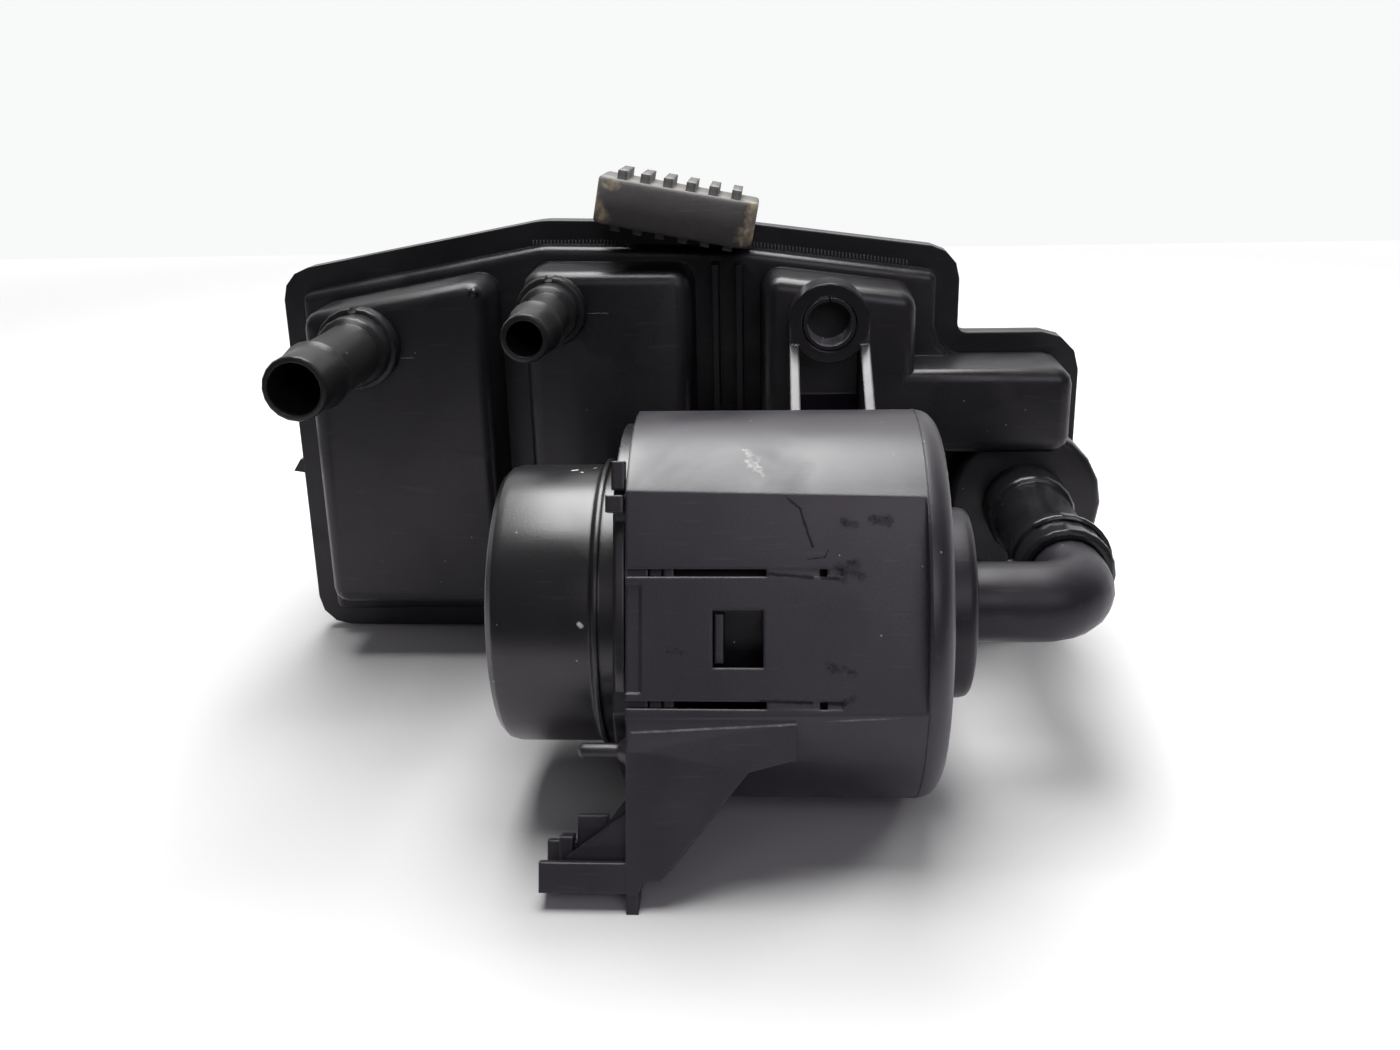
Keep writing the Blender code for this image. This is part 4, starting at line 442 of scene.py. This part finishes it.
def placed_group(tree, group, **values):
    node = tree.nodes.new("ShaderNodeGroup")
    node.node_tree = group
    for name, value in values.items():
        node.inputs[name.replace("_", " ")].default_value = value
    return node


def ranged(tree, value, low, high):
    """A value from 0 to 1, stretched to run from low to high."""
    node = tree.nodes.new("ShaderNodeMapRange")
    node.inputs["To Min"].default_value = low
    node.inputs["To Max"].default_value = high
    tree.links.new(value, node.inputs["Value"])
    return node.outputs["Result"]


def lay_over(material, socket, mask, value, strength=1.0):
    """Lays a colour or a number over what feeds a shader socket, where the mask says."""
    tree = material.node_tree
    target = tree.nodes["Principled BSDF"].inputs[socket]
    mix = tree.nodes.new("ShaderNodeMix")
    if isinstance(value, tuple):
        mix.data_type = "RGBA"
        value = (*value, 1.0)
    kind = "_Color" if mix.data_type == "RGBA" else "_Float"
    inputs = {item.identifier: item for item in mix.inputs}
    results = {item.identifier: item for item in mix.outputs}
    inputs["B" + kind].default_value = value
    if target.links:
        tree.links.new(target.links[0].from_socket, inputs["A" + kind])
    else:
        inputs["A" + kind].default_value = target.default_value
    tree.links.new(ranged(tree, mask, 0.0, strength), inputs["Factor_Float"])
    tree.links.new(results["Result" + kind], target)


def marked(material, start, end, width, colour, strength=1.0, ragged=0.001, broken=0.5, grain=900.0,
           rough=None):
    """One mark on the surface, between two places in millimetres: a scuff, crack or stain, and in some places
    painted light or shade.
    """
    mark = placed_group(material.node_tree, mark_group, Width=width, Ragged=ragged, Broken=broken,
                        Grain_scale=grain, Start=[v / 1000 for v in start], End=[v / 1000 for v in end])
    lay_over(material, "Base Color", mark.outputs["Mark"], colour, strength)
    if rough:
        lay_over(material, "Roughness", mark.outputs["Mark"], rough, strength)


def moulded_plastic(name, dark, light, rough_low, rough_high, grain_depth, edge_radius=0.0006,
                    gloss=0.5):
    """A moulded plastic between two colours and two roughnesses, with its skin and rounded edges."""
    material = bpy.data.materials.new(name)
    material.use_nodes = True
    tree = material.node_tree
    shader = tree.nodes["Principled BSDF"]
    skin = placed_group(tree, skin_group)
    edges = placed_group(tree, edge_group, Radius=edge_radius)
    mix = tree.nodes.new("ShaderNodeMix")
    mix.data_type = "RGBA"
    mix.inputs["A"].default_value = (*dark, 1.0)
    mix.inputs["B"].default_value = (*light, 1.0)
    bump = tree.nodes.new("ShaderNodeBump")
    bump.inputs["Distance"].default_value = grain_depth
    bump.inputs["Strength"].default_value = 1.0
    tree.links.new(skin.outputs["Clouds"], mix.inputs["Factor"])
    tree.links.new(mix.outputs["Result"], shader.inputs["Base Color"])
    tree.links.new(ranged(tree, skin.outputs["Clouds"], rough_low, rough_high), shader.inputs["Roughness"])
    tree.links.new(skin.outputs["Grain"], bump.inputs["Height"])
    tree.links.new(edges.outputs["Normal"], bump.inputs["Normal"])
    tree.links.new(bump.outputs["Normal"], shader.inputs["Normal"])
    shader.inputs["Specular IOR Level"].default_value = gloss
    return material


def handled(material, speck_colour, smudge_rough, scratch_colour, speck=0.7, scratch=0.2):
    """Adds the dust, smudges and fine scratches of a used part to a moulded plastic."""
    marks = placed_group(material.node_tree, handling_group)
    lay_over(material, "Base Color", marks.outputs["Scratches"], scratch_colour, scratch)
    lay_over(material, "Base Color", marks.outputs["Specks"], speck_colour, speck)
    lay_over(material, "Roughness", marks.outputs["Smudges"], smudge_rough)


def dress(name, material, angle=smooth_limit):
    """Gives a solid its finish and smooths it across edges up to an angle in degrees."""
    node = nodes[name]
    node.data.materials.clear()
    node.data.materials.append(material)
    modifier = node.modifiers.new("smooth faces", "NODES")
    modifier.node_group = smoothing
    modifier["Socket_1"] = math.radians(angle)
    return node


def made(name, bm, material):
    """Makes a piece that scene.py adds, fixed to the body of the part."""
    mesh = bpy.data.meshes.new(name)
    bm.to_mesh(mesh)
    bm.free()
    mesh.materials.append(material)
    piece = bpy.data.objects.new(name, mesh)
    scene.collection.objects.link(piece)
    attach(piece, "root")
    return piece


def bar(bm, centre, size, turn=0.0):
    """Adds a small box, turned about the viewing direction."""
    spot = Matrix.Translation(centre) @ Matrix.Rotation(turn, 4, "Y") @ Matrix.Diagonal((*size, 1.0))
    bmesh.ops.create_cube(bm, size=1.0, matrix=spot)


cover_plastic = moulded_plastic("cover plastic", dark=(0.0045, 0.0041, 0.0049), light=(0.0085, 0.0077, 0.009),
                                rough_low=0.27, rough_high=0.38, grain_depth=0.00003, gloss=0.34)
handled(cover_plastic, speck_colour=(0.16, 0.15, 0.14), smudge_rough=0.6, scratch_colour=(0.03, 0.03, 0.03))
dress("canister_cover", cover_plastic)

# The weld's fine teeth show as ticks along the plinth's foot, and a thin flow line runs from each port.
flange_face_y = 0.0206
tooth_pitch = 0.00095
tooth_size = (0.00034, 0.0006, 0.0014)
tooth_rows = (((-0.0400, 0.1149), (-0.0135, 0.1146)), ((0.0205, 0.1136), (0.0630, 0.1081)))
line_size = (0.0062, 0.0003, 0.00025)
line_places = ((-0.0730, -0.0020, 0.0876), (-0.0204, -0.0020, 0.0989))
teeth = bmesh.new()
for (x0, z0), (x1, z1) in tooth_rows:
    count = int((x1 - x0) / tooth_pitch)
    for k in range(count):
        share = k / count
        bar(teeth, (x0 + (x1 - x0) * share, flange_face_y, z0 + (z1 - z0) * share), tooth_size)
weld_flash = moulded_plastic("weld flash", dark=(0.06, 0.06, 0.063), light=(0.11, 0.11, 0.113),
                             rough_low=0.45, rough_high=0.6, grain_depth=0.00002)
made("weld_teeth", teeth, weld_flash)
lines = bmesh.new()
for place in line_places:
    bar(lines, place, line_size)
flow_plastic = moulded_plastic("flow line", dark=(0.022, 0.022, 0.023), light=(0.035, 0.035, 0.036),
                               rough_low=0.5, rough_high=0.6, grain_depth=0.00002)
made("flow_lines", lines, flow_plastic)


# Canister shell: the deep case behind the cover, moulded in the same nylon, with hoops and two rails.
# It shows only from behind and from the sides.
shell_plastic = moulded_plastic("shell plastic", dark=(0.009, 0.009, 0.01), light=(0.016, 0.015, 0.016),
                                rough_low=0.42, rough_high=0.56, grain_depth=0.00004)
handled(shell_plastic, speck_colour=(0.16, 0.15, 0.14), smudge_rough=0.62, scratch_colour=(0.03, 0.03, 0.03))
dress("canister_shell", shell_plastic)


# Chamber contents: foam slabs, packed charcoal pellets and a perforated plate in each chamber.
# The foam is cut from open-cell sheet, the pellets are loose, and the plate is moulded.
def grainy(name, low, high, scale, depth, rough):
    """A rough matter of small cells between two colours."""
    material = bpy.data.materials.new(name)
    material.use_nodes = True
    tree = material.node_tree
    shader = tree.nodes["Principled BSDF"]
    place = tree.nodes.new("ShaderNodeTexCoord")
    cells = tree.nodes.new("ShaderNodeTexVoronoi")
    cells.inputs["Scale"].default_value = scale
    ramp = tree.nodes.new("ShaderNodeMix")
    ramp.data_type = "RGBA"
    ramp.inputs["A"].default_value = (*low, 1.0)
    ramp.inputs["B"].default_value = (*high, 1.0)
    bump = tree.nodes.new("ShaderNodeBump")
    bump.inputs["Distance"].default_value = depth
    bump.inputs["Strength"].default_value = 1.0
    tree.links.new(place.outputs["Object"], cells.inputs["Vector"])
    tree.links.new(cells.outputs["Distance"], ramp.inputs["Factor"])
    tree.links.new(ramp.outputs["Result"], shader.inputs["Base Color"])
    tree.links.new(cells.outputs["Distance"], bump.inputs["Height"])
    tree.links.new(bump.outputs["Normal"], shader.inputs["Normal"])
    shader.inputs["Roughness"].default_value = rough
    return material


foam_finish = grainy("open-cell foam", low=(0.02, 0.02, 0.022), high=(0.09, 0.09, 0.095),
                     scale=900.0, depth=0.0006, rough=0.95)
charcoal_finish = grainy("charcoal pellets", low=(0.02, 0.02, 0.02), high=(0.004, 0.004, 0.004),
                         scale=480.0, depth=0.0012, rough=0.85)
plate_finish = moulded_plastic("plate plastic", dark=(0.26, 0.26, 0.25), light=(0.34, 0.34, 0.33),
                               rough_low=0.45, rough_high=0.6, grain_depth=0.00002)
for chamber in ("main", "vent"):
    dress(chamber + "_front_foam", foam_finish)
    dress(chamber + "_charcoal_bed", charcoal_finish)
    dress(chamber + "_rear_foam", foam_finish)
    dress(chamber + "_pressure_plate", plate_finish)


# Springs: drawn and coiled steel wire, two behind the larger plate and one behind the smaller.
# They press the plates, and so the charcoal, towards the cover.
streak_depth = 0.00008


def drawn_metal(name, dark, light, rough_low, rough_high, streak, metallic=1.0):
    """A metal with fine drawing streaks; streak scales them along X, Y and Z."""
    material = bpy.data.materials.new(name)
    material.use_nodes = True
    tree = material.node_tree
    shader = tree.nodes["Principled BSDF"]
    shader.inputs["Metallic"].default_value = metallic
    place = tree.nodes.new("ShaderNodeTexCoord")
    stretch = tree.nodes.new("ShaderNodeMapping")
    stretch.inputs["Scale"].default_value = streak
    noise = tree.nodes.new("ShaderNodeTexNoise")
    noise.inputs["Scale"].default_value = 1.0
    noise.inputs["Detail"].default_value = 4.0
    mix = tree.nodes.new("ShaderNodeMix")
    mix.data_type = "RGBA"
    mix.inputs["A"].default_value = (*dark, 1.0)
    mix.inputs["B"].default_value = (*light, 1.0)
    bump = tree.nodes.new("ShaderNodeBump")
    bump.inputs["Distance"].default_value = streak_depth
    bump.inputs["Strength"].default_value = 1.0
    tree.links.new(place.outputs["Object"], stretch.inputs["Vector"])
    tree.links.new(stretch.outputs["Vector"], noise.inputs["Vector"])
    tree.links.new(noise.outputs["Fac"], mix.inputs["Factor"])
    tree.links.new(mix.outputs["Result"], shader.inputs["Base Color"])
    tree.links.new(ranged(tree, noise.outputs["Fac"], rough_low, rough_high), shader.inputs["Roughness"])
    tree.links.new(noise.outputs["Fac"], bump.inputs["Height"])
    tree.links.new(bump.outputs["Normal"], shader.inputs["Normal"])
    return material


spring_finish = drawn_metal("spring wire", dark=(0.3, 0.3, 0.31), light=(0.5, 0.5, 0.52),
                            rough_low=0.25, rough_high=0.4, streak=(400.0, 400.0, 400.0))
for name in ("main_spring_1", "main_spring_2", "vent_spring"):
    dress(name, spring_finish)


# Hose ports: stepped tubes with a collar, moulded in satin black nylon and spin-welded to the pockets.
# Their skin is finer and less glossy than the cover's.
port_plastic = moulded_plastic("port plastic", dark=(0.006, 0.006, 0.0065), light=(0.011, 0.0105, 0.011),
                               rough_low=0.26, rough_high=0.36, grain_depth=0.000015, gloss=0.25)
handled(port_plastic, speck_colour=(0.2, 0.19, 0.18), smudge_rough=0.42, scratch_colour=(0.04, 0.04, 0.04))
for name in ("tank_port", "purge_port"):
    dress(name, port_plastic)


# Rubber pad: a ribbed block moulded in grey-black rubber and pushed onto the cover's tongue.
# Its ends carry tan stains. A paler band along its top is dust, with painted light where the top catches the lamp.
pad_rubber = moulded_plastic("pad rubber", dark=(0.038, 0.036, 0.034), light=(0.07, 0.067, 0.062),
                             rough_low=0.55, rough_high=0.7, grain_depth=0.00006, edge_radius=0.0022)
handled(pad_rubber, speck_colour=(0.25, 0.23, 0.2), smudge_rough=0.75, scratch_colour=(0.1, 0.1, 0.09),
        speck=0.7, scratch=0.6)
tan = (0.3, 0.245, 0.155)
dust = (0.14, 0.135, 0.125)
pad_lower_shade = (0.014, 0.0135, 0.013)
# Painted shade: the pad's front is darkened towards the bottom.
marked(pad_rubber, (-17.5, -1.7, 123.5), (19.5, -1.7, 117.5), width=0.0055, colour=pad_lower_shade, strength=0.7,
       ragged=0.002, broken=0.15, grain=300.0)
# Dust and painted light: a paler band along the pad's top edge.
marked(pad_rubber, (-17.0, 3.0, 133.5), (19.5, 3.0, 127.8), width=0.006, colour=dust, strength=0.6,
       ragged=0.002, broken=0.3, grain=400.0)
end_stains = (
    ((-20.5, 6.0, 131.5), (-18.5, -1.0, 124.0), 0.0028),
    ((-18.0, -1.0, 131.5), (-14.0, -1.0, 131.0), 0.0016),
    ((20.5, 2.0, 119.0), (18.2, -1.0, 117.5), 0.0030),
    ((20.8, 1.0, 126.0), (19.2, -1.4, 119.0), 0.0022),
)
for start, end, width in end_stains:
    marked(pad_rubber, start, end, width, tan, strength=0.75, ragged=0.004, broken=0.6, grain=500.0)
dress("mount_pad", pad_rubber)


# Filter cup: the drum with its latch flat, snap finger, gusset, foot, peg and bolt ear, all one
# moulding in satin black nylon. The flat is worn: a crack-like line, dark smudges and pale scuffs.
cup_plastic = moulded_plastic("cup plastic", dark=(0.0068, 0.0052, 0.0078), light=(0.0125, 0.0098, 0.0142),
                              rough_low=0.33, rough_high=0.45, grain_depth=0.00002, edge_radius=0.0008)
handled(cup_plastic, speck_colour=(0.22, 0.21, 0.2), smudge_rough=0.52, scratch_colour=(0.045, 0.043, 0.045))
pale = (0.26, 0.255, 0.245)
soot = (0.003, 0.003, 0.003)
soot_rough = 0.95
pale_scuffs = (
    ((20.2, -85.2, 84.2), (21.0, -86.8, 83.6), 0.0007, 0.5),
    ((20.8, -88.6, 82.8), (22.6, -90.2, 81.9), 0.0011, 0.6),
    ((22.6, -88.8, 82.7), (23.6, -92.0, 80.8), 0.0006, 0.5),
    ((21.4, -86.6, 83.6), (23.0, -88.0, 83.1), 0.0005, 0.35),
)
scuff_share = 0.75
for start, end, width, strength in pale_scuffs:
    marked(cup_plastic, start, end, width, pale, scuff_share * strength, ragged=0.0026, broken=0.7, grain=1000.0)
dark_lines = (
    ((27.6, -95.6, 78.0), (31.0, -97.0, 75.4), 0.00035), ((31.0, -97.0, 75.4), (32.0, -98.3, 72.4), 0.0004),
    ((32.0, -98.3, 72.4), (33.4, -99.9, 68.5), 0.00035), ((23.2, -101.6, 63.5), (33.3, -102.0, 62.8), 0.0005),
    ((35.4, -102.0, 62.8), (38.4, -102.1, 62.7), 0.0006), ((32.4, -100.7, 66.2), (35.8, -100.6, 66.6), 0.00025),
    ((35.8, -100.6, 66.6), (36.4, -100.1, 67.9), 0.0002), ((23.2, -110.1, 39.9), (33.2, -110.3, 39.7), 0.0005),
    ((35.4, -110.3, 39.6), (39.6, -110.4, 39.5), 0.0007),
)
for start, end, width in dark_lines:
    marked(cup_plastic, start, end, width, soot, ragged=0.0006, broken=0.0, grain=700.0, rough=soot_rough)
# Painted highlight: a thin pale line along the flat's lower edge, where the edge catches the light.
flat_edge_highlight = ((-2.3, -112.0, 33.8), (27.0, -111.4, 35.3), (55.0, -110.9, 37.3))
for start, end in zip(flat_edge_highlight, flat_edge_highlight[1:]):
    marked(cup_plastic, start, end, width=0.0003, colour=pale, strength=0.45, ragged=0.0002, grain=500.0)
dark_smudges = (
    ((39.6, -98.4, 72.9), (41.6, -98.4, 72.5), 0.0011), ((45.4, -98.1, 73.6), (48.4, -98.2, 73.2), 0.0012),
    ((38.4, -101.2, 64.6), (39.4, -101.8, 62.6), 0.0013), ((41.4, -101.8, 63.6), (43.2, -102.0, 63.0), 0.0009),
    ((36.8, -108.0, 46.6), (38.2, -108.3, 45.8), 0.0012), ((39.6, -108.2, 46.0), (41.4, -108.5, 45.2), 0.001),
    ((5.0, -106.6, 49.2), (8.0, -106.8, 48.6), 0.0011), ((39.7, -101.5, 64.2), (41.6, -101.2, 65.3), 0.0014),
    ((40.0, -110.3, 40.0), (41.4, -110.1, 40.7), 0.0009),
)
for start, end, width in dark_smudges:
    marked(cup_plastic, start, end, width, soot, strength=0.85, ragged=0.0022, broken=0.55, grain=1100.0,
           rough=soot_rough)
# The ear is smoother than the drum, and painted darker as shade.
marked(cup_plastic, (39.9, -16.0, 98.0), (39.9, -16.0, 101.0), width=0.019, colour=(0.0045, 0.004, 0.005),
       strength=0.9, ragged=0.0, broken=0.0, rough=0.2)
dress("filter_cup", cup_plastic, angle=20.0)

# A fine parting line runs round the drum where its end rim starts.
seam_x = 0.0560
seam_radius = 0.04303
seam_width = 0.0003
drum_axis = (-0.0690, 0.0446)
seam_steps = 160
seam = bmesh.new()
rings = []
for x, radius in ((seam_x, seam_radius - seam_width), (seam_x, seam_radius),
                  (seam_x + seam_width, seam_radius), (seam_x + seam_width, seam_radius - seam_width)):
    ring = []
    for k in range(seam_steps):
        angle = 2 * math.pi * k / seam_steps
        y = drum_axis[0] + radius * math.cos(angle)
        z = drum_axis[1] + radius * math.sin(angle)
        ring.append(seam.verts.new((x, y, z)))
    rings.append(ring)
for near, far in zip(rings, rings[1:] + rings[:1]):
    for k in range(seam_steps):
        j = (k + 1) % seam_steps
        seam.faces.new((near[k], near[j], far[j], far[k]))
bmesh.ops.recalc_face_normals(seam, faces=seam.faces)
made("drum_seam", seam, cup_plastic)


# Bolt sleeve: a strip of plated steel rolled into a tube, with its seam at the top, pressed into the ear.
# The bore is drawn in pale streaks along its length, with a painted reflection along its upper side. The end facing
# the front is painted dark as shade, and made rough.
sleeve_steel = drawn_metal("sleeve steel", dark=(0.05, 0.05, 0.055), light=(0.85, 0.85, 0.88),
                           rough_low=0.14, rough_high=0.3, streak=(330.0, 25.0, 330.0), metallic=0.5)
# Painted reflection: a pale bluish streak along the upper side of the bore.
marked(sleeve_steel, (42.0, -16.0, 101.6), (42.0, -6.0, 101.6), width=0.0024, colour=(0.9, 0.92, 0.98),
       strength=0.9, ragged=0.0006, broken=0.2)
# Painted shade: the end face towards the front is darkened, and made rough.
front_end_shade = (0.012, 0.012, 0.013)
front_end_rough = 0.6
sleeve_tree = sleeve_steel.node_tree
end_face = sleeve_tree.nodes.new("ShaderNodeNewGeometry")
end_parts = sleeve_tree.nodes.new("ShaderNodeSeparateXYZ")
front_end_mask = sleeve_tree.nodes.new("ShaderNodeMapRange")
front_end_mask.inputs["From Min"].default_value = -0.7
front_end_mask.inputs["From Max"].default_value = -0.95
sleeve_tree.links.new(end_face.outputs["True Normal"], end_parts.inputs[0])
sleeve_tree.links.new(end_parts.outputs["Y"], front_end_mask.inputs["Value"])
lay_over(sleeve_steel, "Base Color", front_end_mask.outputs["Result"], front_end_shade)
lay_over(sleeve_steel, "Roughness", front_end_mask.outputs["Result"], front_end_rough)
dress("bolt_sleeve", sleeve_steel)


# Filter cap: the drum-shaped end cap with its bead, flange, plug and skirt, moulded in glossier nylon.
# Its seal lies in the plug's groove.
cap_plastic = moulded_plastic("cap plastic", dark=(0.0052, 0.0048, 0.0055), light=(0.0095, 0.0088, 0.01),
                              rough_low=0.24, rough_high=0.34, grain_depth=0.000015, edge_radius=0.0007)
handled(cap_plastic, speck_colour=(0.3, 0.29, 0.28), smudge_rough=0.4, scratch_colour=(0.045, 0.045, 0.045))
chip_colour = (0.5, 0.49, 0.47)
chips = (
    ((-18.2, -69.4, 75.6), (-17.2, -69.0, 75.6), 0.0004), ((-13.8, -67.2, 75.5), (-13.3, -67.0, 75.5), 0.0003),
    ((-16.2, -70.4, 75.6), (-15.8, -70.6, 75.5), 0.0003), ((-13.8, -99.1, 51.6), (-13.4, -99.2, 51.2), 0.0006),
)
for start, end, width in chips:
    marked(cap_plastic, start, end, width, chip_colour, strength=0.9, ragged=0.0003, broken=0.3)
dress("filter_cap", cap_plastic, angle=24.0)
seal_rubber = moulded_plastic("seal rubber", dark=(0.012, 0.012, 0.012), light=(0.02, 0.02, 0.02),
                              rough_low=0.5, rough_high=0.6, grain_depth=0.00001)
dress("cap_seal", seal_rubber)


# Pleated element: cream filter paper folded into a star, between two discs cast in soft black plastic.
# It sits inside the drum, out of sight.
paper_finish = grainy("filter paper", low=(0.62, 0.57, 0.42), high=(0.74, 0.7, 0.55),
                      scale=1600.0, depth=0.00008, rough=0.9)
dress("filter_element", paper_finish, angle=10.0)
for name in ("element_inner_disc", "element_outer_disc"):
    dress(name, seal_rubber)


# Vent elbow: the round boss and the bent pipe, moulded as one in satin black nylon and spin-welded
# to the drum's closed end. Two seal rings sit on its tip, inside the socket.
elbow_plastic = moulded_plastic("elbow plastic", dark=(0.0068, 0.0055, 0.0076), light=(0.0118, 0.0098, 0.013),
                                rough_low=0.34, rough_high=0.46, grain_depth=0.00002, gloss=0.3)
handled(elbow_plastic, speck_colour=(0.22, 0.21, 0.2), smudge_rough=0.5, scratch_colour=(0.045, 0.043, 0.045))
dress("vent_elbow", elbow_plastic)
for name in ("pipe_seal_1", "pipe_seal_2"):
    dress(name, seal_rubber)


# Vent port: the stepped socket tube on the cover's vent disc, moulded in smooth black nylon.
# The elbow's tip plugs into it.
socket_plastic = moulded_plastic("socket plastic", dark=(0.006, 0.006, 0.0065), light=(0.01, 0.01, 0.011),
                                 rough_low=0.14, rough_high=0.22, grain_depth=0.00001, gloss=0.3)
handled(socket_plastic, speck_colour=(0.2, 0.19, 0.18), smudge_rough=0.34, scratch_colour=(0.04, 0.04, 0.04))
dress("vent_port", socket_plastic)


# Coupling clip: bent steel wire with a black coating, sprung into the socket's groove.
# It locks the elbow's tip in place.
clip_finish = moulded_plastic("coated wire", dark=(0.01, 0.01, 0.01), light=(0.02, 0.02, 0.02),
                              rough_low=0.08, rough_high=0.16, grain_depth=0.000005)
dress("coupling_clip", clip_finish, angle=50.0)
